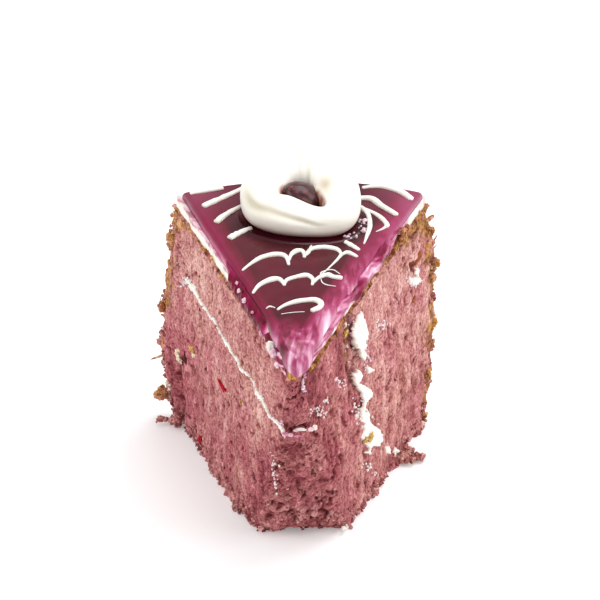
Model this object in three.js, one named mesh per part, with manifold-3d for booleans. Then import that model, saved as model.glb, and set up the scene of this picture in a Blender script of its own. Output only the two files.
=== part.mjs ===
// A cut slice of a two-layer blueberry cake, as it stands on a table with its point to the front.
//
// From the table up it is a thick lower sponge, a thin cream filling, a thinner upper sponge, a coat of
// white cream and a set blueberry glaze with feathered lines of white icing. A piped ring of whipped cream
// stands near the rim, with a blueberry in its hole. The cut faces are crumbly, the point is undercut,
// and a smear of cream runs down the right-hand face.
//
// Millimetres, +Z up. The origin is on the table, on the middle line of the slice, halfway from the
// centre of the whole cake to its rim. +Y points to the rim.
import * as THREE from "three";
import { mergeVertices } from "three/addons/utils/BufferGeometryUtils.js";
import Module from "manifold-3d";

const wasm = await Module();
wasm.setup();

// ---- Driving dimensions ----
const CAKE_RADIUS = 100;
const HALF_ANGLE = THREE.MathUtils.degToRad(45 / 2);
const GAP = 0.3; // left free between two layers that touch

const SPONGE_TOP_AT_RIM = 79.5;
const SPONGE_TOP_SLOPE = 0.041; // fall of the top for each millimetre towards the centre
const TIP_DROOP = 2; // the point hangs a little lower still
const TIP_DROOP_LENGTH = 40;
const FILLING_AT_CENTRE = 48.5;
const FILLING_SLOPE = 0.097; // the filling rises towards the rim
const FILLING_THICKNESS = 1.6;
const CREAM_COAT = 3.1;
const GLAZE_THICKNESS = 3.3;
const TIP_RUN = 10; // nearer the point than this, the glaze runs down to the sponge

const FOOT_FLARE = 2.4; // how far the cut faces lean out by the time they reach the table
const POINT_LEFT = 5.5; // what is missing of the point at the top
const POINT_CUT = { left: 28, right: 30 }; // how much more of it is crumbled away at the table

// How far the baked side stands from the cake's centre line at each height: it bulges past the topping.
const BAKED_SIDE = [[0, 102.5], [5, 105], [20, 107], [45, 107.5], [66, 106.3], [75, 103.8], [80, 99.5], [85, 99]];

const RING = { centreY: 30.5, ropeRadius: 12, halfWidth: 5.9 };
const BERRY = { halfWidth: 5.5, halfHeight: 4.6 };

const CENTRE_Y = -CAKE_RADIUS / 2; // the whole cake's centre line

// ---- Small helpers ----
const { clamp, lerp, smoothstep } = THREE.MathUtils;

// A repeatable number from 0 to 1 for each point of a whole-number grid.
function hash(i, j, k) {
  let h = Math.imul(i, 374761393) ^ Math.imul(j, 668265263) ^ Math.imul(k, 2147483647 - 1274126177);
  h = Math.imul(h ^ (h >>> 13), 1274126177);
  return ((h ^ (h >>> 16)) >>> 0) / 4294967295;
}

// Smooth noise from -1 to 1, with features about one unit across.
function noise(x, y, z) {
  const cell = [x, y, z].map(Math.floor);
  const [fx, fy, fz] = [x, y, z].map((v, n) => smoothstep(v - cell[n], 0, 1));
  const corner = (a, b, c) => hash(cell[0] + a, cell[1] + b, cell[2] + c);
  const edge = (b, c) => lerp(corner(0, b, c), corner(1, b, c), fx);
  const side = (c) => lerp(edge(0, c), edge(1, c), fy);
  return 2 * lerp(side(0), side(1), fz) - 1;
}

// A point at a distance from the whole cake's centre line, at an angle from the slice's middle line.
function polar(radius, angle, z) {
  return new THREE.Vector3(radius * Math.sin(angle), CENTRE_Y + radius * Math.cos(angle), z);
}

// A closed three.js geometry as a solid that can be cut and joined.
function solid(geometry) {
  const bare = geometry.clone();
  bare.deleteAttribute("normal");
  bare.deleteAttribute("uv");
  const merged = mergeVertices(bare, 1e-4);
  const triVerts = new Uint32Array(merged.index.array);
  const vertProperties = merged.attributes.position.array;
  return new wasm.Manifold(new wasm.Mesh({ numProp: 3, vertProperties, triVerts }));
}

// The solid's largest body as a three.js geometry, without the loose scraps that cutting leaves.
function geometryOf(manifold) {
  const body = manifold.decompose().sort((a, b) => b.volume() - a.volume())[0];
  const mesh = body.getMesh();
  const geometry = new THREE.BufferGeometry();
  geometry.setAttribute("position", new THREE.BufferAttribute(mesh.vertProperties, mesh.numProp));
  geometry.setIndex(new THREE.BufferAttribute(mesh.triVerts, 1));
  geometry.computeVertexNormals();
  return geometry;
}

// Moves each vertex of a geometry to where the function puts it.
function bend(geometry, place) {
  const position = geometry.attributes.position;
  const vertex = new THREE.Vector3();
  for (let i = 0; i < position.count; i++) {
    vertex.fromBufferAttribute(position, i);
    const moved = place(vertex);
    position.setXYZ(i, moved.x, moved.y, moved.z);
  }
  return geometry;
}

// Everything under a surface that is level all the way round the cake's centre line.
function under(surface) {
  const reach = CAKE_RADIUS + 30;
  const radii = [0, 5, 10, 16, 24, 32, TIP_DROOP_LENGTH, reach];
  const profile = [new THREE.Vector2(0, -20), new THREE.Vector2(reach, -20)];
  for (const radius of radii.reverse()) profile.push(new THREE.Vector2(radius, surface(radius)));
  const turned = new THREE.LatheGeometry(profile, 48);
  return solid(turned.rotateX(Math.PI / 2).translate(0, CENTRE_Y, 0));
}

// An uneven lump, turned about the vertical: an ellipsoid with a rough surface.
function lump(place, half, turn = 0, roughness = 0.16) {
  const ball = new THREE.IcosahedronGeometry(1, 1);
  const rough = bend(ball, (v) => {
    const scale = 1 + roughness * noise(2 * v.x + place.x, 2 * v.y + place.y, 2 * v.z + place.z);
    return v.clone().multiplyScalar(scale).multiply(half);
  });
  return solid(rough.rotateZ(turn).translate(place.x, place.y, place.z));
}

const joined = (solids) => wasm.Manifold.union(solids);

// A rope along a line. The function is given how far along it is, and where on the unit circle round it.
function sweep(steps, sides, place) {
  const tube = new THREE.CylinderGeometry(1, 1, 1, sides, steps);
  return solid(bend(tube, (v) => place(v.y + 0.5, v.x, v.z)));
}

// Reads a table of [place, value] rows, with straight lines between them.
function between(rows, at) {
  const next = Math.max(1, rows.findIndex(([place]) => place >= at));
  const [[fromPlace, fromValue], [toPlace, toValue]] = [rows[next - 1], rows[next]];
  return lerp(fromValue, toValue, clamp((at - fromPlace) / (toPlace - fromPlace), 0, 1));
}

// ---- The levels between the layers ----
function spongeTop(radius) {
  const tip = clamp(1 - radius / TIP_DROOP_LENGTH, 0, 1);
  return SPONGE_TOP_AT_RIM - SPONGE_TOP_SLOPE * (CAKE_RADIUS - radius) - TIP_DROOP * tip * tip;
}
const fillingBottom = (radius) => FILLING_AT_CENTRE + FILLING_SLOPE * radius;
const raised = (surface, height) => (radius) => surface(radius) + height;
const glazeBottom = raised(spongeTop, GAP + CREAM_COAT + GAP);
const glazeTop = raised(glazeBottom, GLAZE_THICKNESS);
const SPOT_TOP = glazeTop(CAKE_RADIUS / 2 + RING.centreY); // where the ring of cream stands

// ---- The cut faces, the rim and the point ----
// A place on a cut face: along it from the cake's centre line, out from it, and up. Side is -1 on the left.
function onFace(side, along, out, z) {
  const place = polar(along, side * HALF_ANGLE, z);
  return place.add(new THREE.Vector3(side * Math.cos(HALF_ANGLE), -Math.sin(HALF_ANGLE), 0).multiplyScalar(out));
}

// How far from the centre line the cut face starts, where the point is crumbled away.
function faceStart(side, z) {
  const rise = clamp(z / 80, 0, 1);
  const [cut, power] = side < 0 ? [POINT_CUT.left, 1.25] : [POINT_CUT.right, 1.05];
  return POINT_LEFT + cut * (1 - rise) ** power;
}

// The knife started again partway down the right-hand face, so the face in front of this line is set back.
const stepAlong = (z) => 41 + 0.27 * (84 - z);
function stepBack(side, along, z) {
  const high = smoothstep(z, 28, 55);
  return side > 0 ? 1.9 * high * (1 - smoothstep(along, stepAlong(z) - 2.5, stepAlong(z) + 1.5)) : 0;
}

// Torn crumb: fine lumps everywhere, and the upright drag marks of the knife on the cut faces.
function crumbRelief(place, along, side) {
  const fine = 0.5 * noise(place.x / 3.4, place.y / 3.4, place.z / 3.4);
  const coarse = 0.55 * noise(place.x / 8, place.y / 8, place.z / 8);
  const depth = side < 0 ? 0.45 : 0.8;
  const drag = depth * noise(along / 4.2, 9 * side, place.z / 24);
  return fine + coarse + drag;
}

// Towards the rim the faces spread, and low on the left an upright strip is torn out.
function rimSpread(side, along, z) {
  const near = smoothstep(along, 84, 104);
  const middle = Math.sin(Math.PI * clamp(z / 66, 0, 1));
  const groove = Math.exp(-(((along - 97) / 2.2) ** 2)) * (1 - smoothstep(z, 22, 34));
  return side < 0 ? near * (0.6 + 3 * middle) - 3.2 * groove : 0.9 * near;
}

function faceVertex(side, share, z) {
  const start = faceStart(side, z);
  const along = lerp(start, rimRadius(side * HALF_ANGLE, z) - 1.5, share);
  const leaning = FOOT_FLARE * (1 - clamp(z / 80, 0, 1)) ** 1.2 * smoothstep(along, start - 8, start + 14);
  const flat = onFace(side, along, 0, z);
  const torn = rimSpread(side, along, z) + crumbRelief(flat, along, side);
  return onFace(side, along, leaning - stepBack(side, along, z) + torn, z);
}

// The baked side. Its lower right-hand corner has broken away.
function rimRadius(angle, z) {
  const brokenCorner = 5 * smoothstep(angle, 0.6 * HALF_ANGLE, HALF_ANGLE) * (1 - smoothstep(z, 18, 25));
  return between(BAKED_SIDE, z) - brokenCorner;
}

function rimVertex(share, z) {
  const angle = lerp(HALF_ANGLE, -HALF_ANGLE, share);
  const radius = rimRadius(angle, z);
  const flat = polar(radius, angle, z);
  const bumps = 0.7 * noise(flat.x / 9, flat.y / 9, z / 9) + 0.5 * noise(flat.x / 3.5, flat.y / 3.5, z / 3.5);
  const corner = faceVertex(Math.sign(angle), 1, z);
  const cornerAngle = Math.abs(Math.atan2(corner.x, corner.y - CENTRE_Y));
  return polar(radius + bumps, (angle / HALF_ANGLE) * cornerAngle, z);
}

// The crumbled point: wide and blunt at the table, narrow at the top.
function pointVertex(share, z) {
  const left = faceVertex(-1, 0, z);
  const right = faceVertex(1, 0, z);
  const across = 2 * share - 1;
  const low = 1 - clamp(z / 80, 0, 1);
  const bulge = (1.4 + 1.4 * low) * (1 - Math.abs(across) ** 2.5);
  const place = left.lerp(right, share);
  const rough = noise(place.x / 3, place.y / 3, z / 3) * (1 - across * across) * (0.5 + 1.1 * low);
  place.y -= bulge + rough;
  return place;
}

// ---- A solid wall round the slice ----
// Rings of vertices one above the other, joined by side faces and closed by a flat top and bottom.
const COUNTS = { face: 28, rim: 18, point: 8 };
function ring(z, vertices) {
  const places = [];
  for (let i = 0; i < COUNTS.face; i++) places.push(vertices.face(1, i / COUNTS.face, z));
  for (let i = 0; i < COUNTS.rim; i++) places.push(vertices.rim(i / COUNTS.rim, z));
  for (let i = 0; i < COUNTS.face; i++) places.push(vertices.face(-1, 1 - i / COUNTS.face, z));
  for (let i = 0; i < COUNTS.point; i++) places.push(vertices.point(i / COUNTS.point, z));
  return places;
}

function wall(levels, vertices) {
  const rings = levels.map((z) => ring(z, vertices));
  const size = rings[0].length;
  const places = rings.flat();
  const index = [];
  for (let level = 0; level + 1 < rings.length; level++) {
    for (let i = 0; i < size; i++) {
      const low = level * size;
      const high = low + size;
      const next = (i + 1) % size;
      index.push(low + i, low + next, high + next, low + i, high + next, high + i);
    }
  }
  for (const level of [0, rings.length - 1]) {
    const middle = places.push(new THREE.Vector3(0, 0, levels[level])) - 1;
    for (let i = 0; i < size; i++) {
      const edge = [level * size + i, level * size + ((i + 1) % size)];
      index.push(middle, ...(level === 0 ? edge.reverse() : edge));
    }
  }
  const geometry = new THREE.BufferGeometry().setFromPoints(places);
  geometry.setIndex(index);
  return solid(geometry);
}

const steps = (low, high, count) => Array.from({ length: count + 1 }, (_, i) => lerp(low, high, i / count));

// ---- The cream smeared down the right-hand face, and the cream pressed out of the filling ----
// Each row: along the face, height, and half the width of the smear there.
const SMEAR = [
  [48.2, 68.9, 0.8], [48.2, 65, 4.3], [47.6, 61, 4.3], [48.2, 57, 4], [49, 53, 3], [45.6, 50, 3.1], [45, 46, 2],
  [49, 41, 6.2], [46.8, 37.5, 4.4], [47, 34, 4.1], [49.5, 30.5, 4], [52.5, 26, 6.2], [54, 21, 7.6],
  [53, 16.5, 3], [52.4, 13.5, 1.2],
];
// Each row: side of the slice, along the face, height, and half the length of a dab of cream.
const DABS = [[1, 99.5, 59.6, 3.4], [-1, 91.5, 58.2, 2.8], [-1, 54, 54.5, 3]];

function smear(grow) {
  const line = new THREE.CatmullRomCurve3(SMEAR.map((row) => new THREE.Vector3(...row)));
  const streak = sweep(34, 8, (share, x, z) => {
    const { x: along, y: height, z: width } = line.getPoint(share);
    const ragged = 1 + 0.18 * noise(7 * x, 40 * share, 1);
    const reach = (width * ragged + grow) * x;
    const lean = FOOT_FLARE * (1 - height / 80) ** 1.2;
    const end = (0.5 - share) * 2 * grow;
    return onFace(1, along - reach, lean + 0.3 + (1.5 + grow) * z, height + 0.6 * reach + end);
  });
  const dabs = DABS.map(([side, along, height, half]) =>
    sweep(4, 6, (share, x, z) => {
      const round = 0.5 + 0.5 * Math.sin(Math.PI * share);
      const place = along - side * (2 * share - 1) * (half + grow);
      const rise = height + FILLING_SLOPE * (place - along) + x * (round + grow);
      const bulge = rimSpread(side, place, rise);
      return onFace(side, place, bulge + 0.9 + (0.9 * round + grow) * z, rise);
    }),
  );
  return joined([streak, ...dabs]);
}

// ---- The pieces ----
const sponge = new THREE.MeshStandardMaterial({ color: 0xa9636b, roughness: 0.95, metalness: 0 });
const cream = new THREE.MeshStandardMaterial({ color: 0xf4efe4, roughness: 0.55, metalness: 0 });
const glaze = new THREE.MeshStandardMaterial({ color: 0x6b1740, roughness: 0.12, metalness: 0 });
const skin = new THREE.MeshStandardMaterial({ color: 0x2c1224, roughness: 0.2, metalness: 0 });

// Torn bits that hang on the slice, as [side, along the face, out from it, height, half sizes along, out
// and up]. On the left, a chunk of crust, and a crumb held by a strand. On the right, a flap at the table.
// The rest are bits of crust at the rim.
const TORN_BITS = [
  [-1, 105.5, 6.2, 8.4, 3.6, 4.0, 3.0],
  [-1, 97, 4.5, 3, 3.6, 4.2, 3.2],
  [-1, 99, 7.6, 2.6, 1.2, 3, 1],
  [-1, 100, 9.6, 2.3, 1.7, 1.8, 1.9],
  [-1, 105, 4.2, 33, 2.4, 2.4, 4.6],
  [-1, 102.5, 1.2, 66, 2, 2.4, 5],
  [1, 76, 5, 2.6, 7, 6.5, 2.9],
  [1, 77.5, 10, 1.8, 3.6, 4.4, 1.7],
  [1, 104, 1.2, 69, 3, 2.6, 1.8],
  [1, 106, 1, 51, 2.2, 3, 3.6],
  [1, 105.5, 1.8, 26, 2.4, 2.8, 3.4],
];
function tornBits() {
  const bits = TORN_BITS.map(([side, along, out, z, ...half]) => {
    const turn = Math.PI / 2 - side * HALF_ANGLE;
    return lump(onFace(side, along, out, z), new THREE.Vector3(...half), turn, 0.3);
  });
  return joined(bits).intersect(aboveTable());
}

// Everything from the table up, as a block well over the size of the slice.
function aboveTable() {
  const block = new THREE.BoxGeometry(3 * CAKE_RADIUS, 3 * CAKE_RADIUS, 2 * CAKE_RADIUS);
  return solid(block.translate(0, 0, CAKE_RADIUS));
}

const roughWall = wall(steps(0, 84, 22), { face: faceVertex, rim: rimVertex, point: pointVertex });
const wholeSponge = roughWall.add(tornBits());
const smearClearance = smear(GAP + 0.1);

function lowerSponge() {
  return wholeSponge.intersect(under(fillingBottom)).subtract(smearClearance);
}

function upperSponge() {
  const floor = raised(fillingBottom, FILLING_THICKNESS + 2 * GAP);
  return wholeSponge.intersect(under(spongeTop)).subtract(under(floor)).subtract(smearClearance);
}

function filling() {
  const low = raised(fillingBottom, GAP);
  const slab = roughWall.intersect(under(raised(low, FILLING_THICKNESS))).subtract(under(low));
  return slab.add(smear(0));
}

// The cream coat shows all round, but at the point the glaze has run down over it.
const coatStart = (z) => TIP_RUN + 0.5 + (z - spongeTop(TIP_RUN) - GAP) * 1.1;

function coatVertex(side, share, z) {
  const along = lerp(coatStart(z), CAKE_RADIUS + 1, share);
  return onFace(side, along, 0.3 + 0.35 * noise(along / 7, 3 * side, 1), z);
}

function coatRim(share, z) {
  return polar(CAKE_RADIUS + 1.4, lerp(HALF_ANGLE, -HALF_ANGLE, share), z);
}

function coatPoint(share, z) {
  return share > 0 ? polar(coatStart(z), lerp(-HALF_ANGLE, HALF_ANGLE, share), z) : coatVertex(-1, 0, z);
}

function creamCoat() {
  const vertices = { face: coatVertex, rim: coatRim, point: coatPoint };
  const low = raised(spongeTop, GAP);
  const slab = wall(steps(68, 90, 1), vertices).intersect(under(raised(low, CREAM_COAT)));
  return slab.subtract(under(low)).subtract(glazeRun(GAP + 0.05));
}

// A box with its length, width and height each from 0 to 1, cut into a grid and bent into place.
function bentBox(lengthSteps, widthSteps, heightSteps, place) {
  const box = new THREE.BoxGeometry(1, 1, 1, lengthSteps, widthSteps, heightSteps);
  return solid(bend(box, (v) => place(v.x + 0.5, v.y + 0.5, v.z + 0.5)));
}

// The glaze is a slab with a soft top edge. At the point it is wider than the cut and runs down to the
// sponge, and near the rim it is drawn back from the left-hand edge.
function glazeSlab() {
  return bentBox(28, 6, 3, (length, width, height) => {
    const edge = 1.5 * height ** 3;
    const radius = lerp(POINT_LEFT - 2.5 + edge, CAKE_RADIUS - 1 - edge, length);
    const across = 1 - 2 * width;
    const drawnBack = across < 0 ? 2.6 * smoothstep(radius, 62, 88) : 0;
    const overhang = 0.1 + 2.2 * Math.exp(-radius / 14) - drawnBack;
    const wave = 0.25 * noise(radius / 8, 5 * Math.sign(across), 2);
    const run = radius < TIP_RUN ? CREAM_COAT : 0;
    const level = lerp(glazeBottom(radius) - run, glazeTop(radius), height);
    const place = polar(radius, across * HALF_ANGLE, level);
    place.x += (overhang + wave - edge) * across;
    return place;
  });
}

// Glaze that has run down over the left-hand edge, with a wavy lower edge.
const RUN = { from: 7, to: 57, thickness: 1.6 };
function glazeRun(grow = 0) {
  return bentBox(22, 1, 3, (length, width, height) => {
    const along = lerp(RUN.from - grow, RUN.to + grow, length);
    const drop = 0.5 + 0.5 * noise(along / 5, 4, 8);
    const low = spongeTop(along) + GAP + 1.6 * drop - grow;
    const swell = (0.8 + grow) * Math.sin(Math.PI * clamp(1.2 - height, 0, 1)) * (0.6 + 0.4 * drop);
    const ends = smoothstep(length, 0, 0.08) * (1 - smoothstep(length, 0.92, 1));
    const out = width < 0.5 ? 0.4 - RUN.thickness - grow : 0.4 + grow + swell * ends;
    return onFace(-1, along, out, lerp(low, glazeTop(along) - 1.2, height));
  });
}

// Lines of white icing round the cake's centre, as [farthest from the centre, fall for each square
// degree from the middle line, first angle, last angle, half width, the angles where a pick dragged it].
const ICING_LINES = [
  [29.7, 0.01, -13.9, 12.5, 0.8, []],
  [42.6, 0.01, -20.3, 15.5, 0.8, [-7.4, 6.6]],
  [57.6, 0.02, -19.7, 17.4, 0.85, [-3.8, 1.6, 13.2]],
  [66.0, 0.02, 12.7, 17.3, 0.9, []],
  [76.0, 0.028, -18.4, -14.6, 0.95, []],
  [85.5, 0.05, 15.6, 19.2, 1.0, []],
  [89.6, 0.035, -19.6, -13.6, 1.0, []],
  [91.4, 0.038, 14.2, 21.0, 1.0, []],
  [99.4, 0.0325, -20.3, -12.6, 1.05, []],
  [96.4, 0.0325, 12.2, 21.0, 1.05, []],
];
function icingLine([farthest, fall, first, last, half, drags]) {
  const length = THREE.MathUtils.degToRad(last - first) * farthest;
  return sweep(Math.max(4, Math.ceil(length / 3)), 6, (share, x, z) => {
    const degrees = lerp(first, last, share);
    const dragged = drags.map((at) => 4 * Math.exp(-Math.abs(degrees - at) / 1.6));
    const line = farthest - fall * degrees * degrees - dragged.reduce((sum, d) => sum + d, 0);
    const thick = half * (0.45 + 0.55 * Math.sin(Math.PI * clamp(share, 0.08, 0.92)) ** 0.4);
    const radius = line - x * thick;
    return polar(radius, THREE.MathUtils.degToRad(degrees), glazeTop(radius) - 0.1 + z * thick);
  });
}

function glazeWithIcing() {
  return joined([glazeSlab(), glazeRun(), ...ICING_LINES.map(icingLine)]);
}

// A rope of whipped cream laid in a ring on the sloping glaze. It is lowest at the front, and its end lies
// over its start at the back. A soft crease runs along the front left, where the rope folded as it was laid.
function creamRing() {
  const rope = new THREE.TorusGeometry(RING.ropeRadius, RING.halfWidth, 13, 44);
  const laid = bend(rope, (v) => {
    const round = Math.atan2(v.x, -v.y); // 0 at the front, positive to the right
    const behind = (1 - Math.cos(round)) / 2;
    const height = 8.6 + 2.9 * behind + 0.9 * Math.max(0, Math.sin(-round));
    const ends = 1.3 * Math.exp(-(((Math.abs(round) - 2.75) / 0.3) ** 2)) * Math.sign(round);
    const away = Math.hypot(v.x, v.y) - RING.ropeRadius;
    const turn = Math.atan2(v.z, away);
    const crease = Math.exp(-(((turn - 0.95 - 0.35 * round) / 0.3) ** 2)) * smoothstep(-round, -0.5, 0.3);
    const pull = 1 - 0.12 * crease - 0.03 * noise(2 * round, turn, 3);
    const spread = (RING.ropeRadius + away * pull) / Math.hypot(v.x, v.y);
    const up = (v.z * pull * height) / (2 * RING.halfWidth) + height / 2 - 0.6 + (v.z > 0 ? ends : 0);
    const place = new THREE.Vector3(v.x * spread, v.y * spread + RING.centreY, 0);
    place.z = glazeTop(Math.hypot(place.x, place.y - CENTRE_Y)) + GAP + Math.max(0, up);
    return place;
  });
  const peak = new THREE.Vector3(4.5, 41.5, SPOT_TOP + 10);
  return solid(laid).add(lump(peak, new THREE.Vector3(5.5, 3.6, 3.4), 0, 0.06));
}

function berry() {
  const ball = new THREE.SphereGeometry(1, 16, 12).rotateX(Math.PI / 2);
  const fruit = bend(ball, (v) => {
    const crown = 0.12 * Math.exp(-(((Math.hypot(v.x + 0.35, v.y + 0.3) - 0.28) / 0.12) ** 2)) * Math.max(0, v.z);
    const out = v.clone().multiplyScalar(1 + crown);
    const base = SPOT_TOP + GAP + BERRY.halfHeight;
    return out.multiply(new THREE.Vector3(BERRY.halfWidth, BERRY.halfWidth, BERRY.halfHeight)).add(
      new THREE.Vector3(0, RING.centreY, base),
    );
  });
  return solid(fruit);
}

// ---- The slice ----
function piece(name, manifold, material) {
  const mesh = new THREE.Mesh(geometryOf(manifold), material);
  mesh.name = name;
  return mesh;
}

const slice = new THREE.Group();
slice.add(
  piece("lower_sponge", lowerSponge(), sponge),
  piece("filling", filling(), cream),
  piece("upper_sponge", upperSponge(), sponge),
  piece("cream_coat", creamCoat(), cream),
  piece("glaze", glazeWithIcing(), glaze),
  piece("cream_ring", creamRing(), cream),
  piece("berry", berry(), skin),
);

export default slice;
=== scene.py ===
"""A cut slice of a two-layer blueberry cake, standing on a pale floor with its point to the front.

Shapes are worked out in millimetres in the part's own frame and built in metres. The crumb, the torn
edges, the marbled glaze, the feathered icing and the piped ring of cream are dense meshes with a colour
at each vertex, and each material adds finer grain on top.
"""

import math

import bmesh
import bpy
import numpy as np
from mathutils import Matrix, Vector


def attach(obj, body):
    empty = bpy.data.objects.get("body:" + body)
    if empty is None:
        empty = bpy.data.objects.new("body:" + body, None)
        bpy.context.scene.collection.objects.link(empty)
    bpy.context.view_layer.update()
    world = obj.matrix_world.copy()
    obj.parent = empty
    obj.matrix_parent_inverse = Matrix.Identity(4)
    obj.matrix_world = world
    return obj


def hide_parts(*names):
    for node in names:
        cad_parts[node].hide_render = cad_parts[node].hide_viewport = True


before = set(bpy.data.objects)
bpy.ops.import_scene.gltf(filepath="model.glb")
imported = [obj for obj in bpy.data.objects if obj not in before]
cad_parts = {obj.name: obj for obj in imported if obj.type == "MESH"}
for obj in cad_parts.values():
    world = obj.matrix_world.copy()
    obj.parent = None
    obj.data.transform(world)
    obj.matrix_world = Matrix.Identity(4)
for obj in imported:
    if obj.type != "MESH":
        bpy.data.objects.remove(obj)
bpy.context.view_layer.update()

# ---- Driving dimensions, in millimetres ----
MM = 0.001
LEFT = -1
RIGHT = 1
CAKE_RADIUS = 100.0
CENTRE_Y = -CAKE_RADIUS / 2  # the whole cake's centre line
HALF_ANGLE = math.radians(45 / 2)
TYPICAL_RADIUS = 80.0  # where the height of a layer is taken, to count its rows

FACE_HEIGHT = 80.0  # about how high a cut face is
SPONGE_TOP_AT_RIM = 79.5
SPONGE_TOP_SLOPE = 0.041
TIP_DROOP = 2.0
TIP_DROOP_LENGTH = 40.0
FILLING_AT_CENTRE = 48.5
FILLING_SLOPE = 0.097
FILLING_BAND = 2.2  # from the lower sponge to the upper one
CREAM_COAT = 3.7
GLAZE_THICKNESS = 3.3
TIP_RUN = 10.0  # how far from the centre line the glaze still hangs down over the coat

FOOT_FLARE = 2.4  # how far a cut face leans out at the table
POINT_LEFT = 5.5  # how far from the centre line the faces start at the top
POINT_CUT = {LEFT: (28.0, 1.25), RIGHT: (30.0, 1.05)}  # how much further at the table, and the curve's power
BAKED_SIDE_HEIGHTS = [0, 5, 20, 45, 66, 75, 80, 85]
BAKED_SIDE_RADII = [102.5, 105, 107, 107.5, 106.3, 103.8, 99.5, 99]

STEP_BACK = 1.9  # how far the front of the right-hand face is set back
STEP_TOP = 84.0
STEP_AT_TOP = 41.0  # where along the face the step is at that height
STEP_SLANT = 0.27
RIM_GROOVE = 3.2  # the groove at the foot of the left-hand face, by the rim
FRONT_CRUST = 6.2  # how far down the crust shows at the front of the right-hand face

RING_CENTRE_Y = 30.5
RING_REACH = 18.2  # from its centre to the outside of its foot, at the front
RING_HOLE = 3.9
RING_HEIGHT = 9.6
ICING_FLATNESS = 0.85
ICING_LIFT = 0.1  # how far above the glaze the middle of a line of icing lies

# Counts of columns and rows, and sizes of cells, in the meshes
FACE_COLUMNS = 226
RIM_COLUMNS = 116
POINT_COLUMNS = 44
LEVEL_HEIGHT = 0.43
SLAB_LENGTHS = 340
SLAB_WIDTHS = 211
SLAB_EDGE = 9
SLAB_UNDERSIDE = 15
SLAB_CLOSING = 6
ROPE_SIDES = 14
RING_ROUND = 300
RING_TURNS = 160
CREAM_CELL = 0.2
LIP_CELL = 0.3
RUN_CELLS = (0.28, 0.25)
SKIN_SHOWS = -0.15  # the faces of a skin that lie deeper than this are left out

FACE_SLANT = 0.58  # how far the level lines of a smear drop for each millimetre along the face
SMEAR_AT = 48.0  # where along the right-hand face a smear's level is its height


# ---- Numbers ----
def lerp(a, b, t):
    return a + (b - a) * t


def unit(value):
    """The value, held between 0 and 1."""
    return np.clip(value, 0, 1)


def smoothstep(value, low, high):
    t = unit((value - low) / (high - low))
    return t * t * (3 - 2 * t)


def falling(value, high, low):
    """1 up to the first place and 0 from the second one on."""
    return 1 - smoothstep(value, high, low)


def bump(value, centre, width):
    """A smooth hump of height 1 round a value."""
    return np.exp(-(((value - centre) / width) ** 2))


def hash3(i, j, k):
    """A repeatable number from 0 to 1 for each point of a whole-number grid."""
    i, j, k = (np.asarray(v).astype(np.int64).astype(np.uint32) for v in np.broadcast_arrays(i, j, k))
    h = i * np.uint32(374761393) ^ j * np.uint32(668265263) ^ k * np.uint32(873357470)
    h = (h ^ (h >> np.uint32(13))) * np.uint32(1274126177)
    return (h ^ (h >> np.uint32(16))) / 4294967295.0


def noise(x, y, z=0.0):
    """Smooth noise from -1 to 1, with features about one unit across."""
    x, y, z = np.broadcast_arrays(np.atleast_1d(x), y, z)
    cell = [np.floor(v) for v in (x, y, z)]
    fx, fy, fz = (smoothstep(v - c, 0, 1) for v, c in zip((x, y, z), cell))

    def corner(a, b, c):
        return hash3(cell[0] + a, cell[1] + b, cell[2] + c)

    def side(c):
        near = lerp(corner(0, 0, c), corner(1, 0, c), fx)
        far = lerp(corner(0, 1, c), corner(1, 1, c), fx)
        return lerp(near, far, fy)

    return 2 * lerp(side(0), side(1), fz) - 1


def noises(p, q, *rows):
    """A sum of noises: the weight, size along p, size along q and seed of each."""
    return sum(weight * noise(p / wide, q / tall, seed) for weight, wide, tall, seed in rows)


def layered(x, y, z, layers=3):
    """Noise with finer and fainter noise added."""
    total = sum(noise(x * 2**n, y * 2**n, z * 2**n + 7 * n) / 2**n for n in range(layers))
    return total / sum(1 / 2**n for n in range(layers))


def pits(p, q, wide, tall, seed, share):
    """Rounded pits, up to one in each cell of a grid: 0 on the surface, 1 at the bottom of the deepest."""
    column = np.floor(p / wide)
    row = np.floor(q / tall)
    deepest = np.zeros(np.broadcast(p, q).shape)
    for i in (-1, 0, 1):
        for j in (-1, 0, 1):
            across = hash3(column + i, row + j, seed)
            upright = hash3(column + i, row + j, seed + 1)
            size = hash3(column + i, row + j, seed + 2)
            there = hash3(column + i, row + j, seed + 3) < share
            dp = p / wide - (column + i + 0.1 + 0.8 * across)
            dq = q / tall - (row + j + 0.1 + 0.8 * upright)
            away = (dp * dp + dq * dq) / (0.28 + 0.3 * size) ** 2
            deepest = np.maximum(deepest, there * unit(1 - away) * (0.5 + 0.5 * size))
    return deepest


# ---- Colours ----
def srgb(red, green, blue):
    """A colour as it is seen on a screen, 0 to 255, as linear light."""
    c = np.array([red, green, blue]) / 255
    return np.where(c < 0.04045, c / 12.92, ((c + 0.055) / 1.055) ** 2.4)


def palette(*stops):
    """The colour at each value, from stops of (value, red, green, blue) as seen on a screen."""
    places = [place for place, *_ in stops]
    channels = np.array([srgb(*colour) for _, *colour in stops]).T

    def colour(value):
        return np.stack([np.interp(value, places, channel) for channel in channels], -1)

    return colour


def mix(a, b, share):
    return a + (b - a) * np.asarray(share)[..., None]


# By how light it is, from 0 to 1
crumb_tan = palette((0, 106, 38, 34), (0.3, 160, 94, 88), (0.55, 200, 147, 139), (1, 238, 206, 196))
crumb_rose = palette((0, 82, 20, 30), (0.3, 128, 58, 66), (0.55, 179, 104, 110), (1, 228, 170, 172))
crust_brown = palette((0, 96, 52, 20), (0.5, 190, 138, 76), (1, 234, 198, 140))
cream_white = palette((0, 206, 194, 170), (0.5, 236, 231, 219), (1, 247, 244, 238))
berry_dark = palette((0, 34, 12, 16), (0.5, 82, 38, 42), (1, 150, 104, 100))

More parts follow.
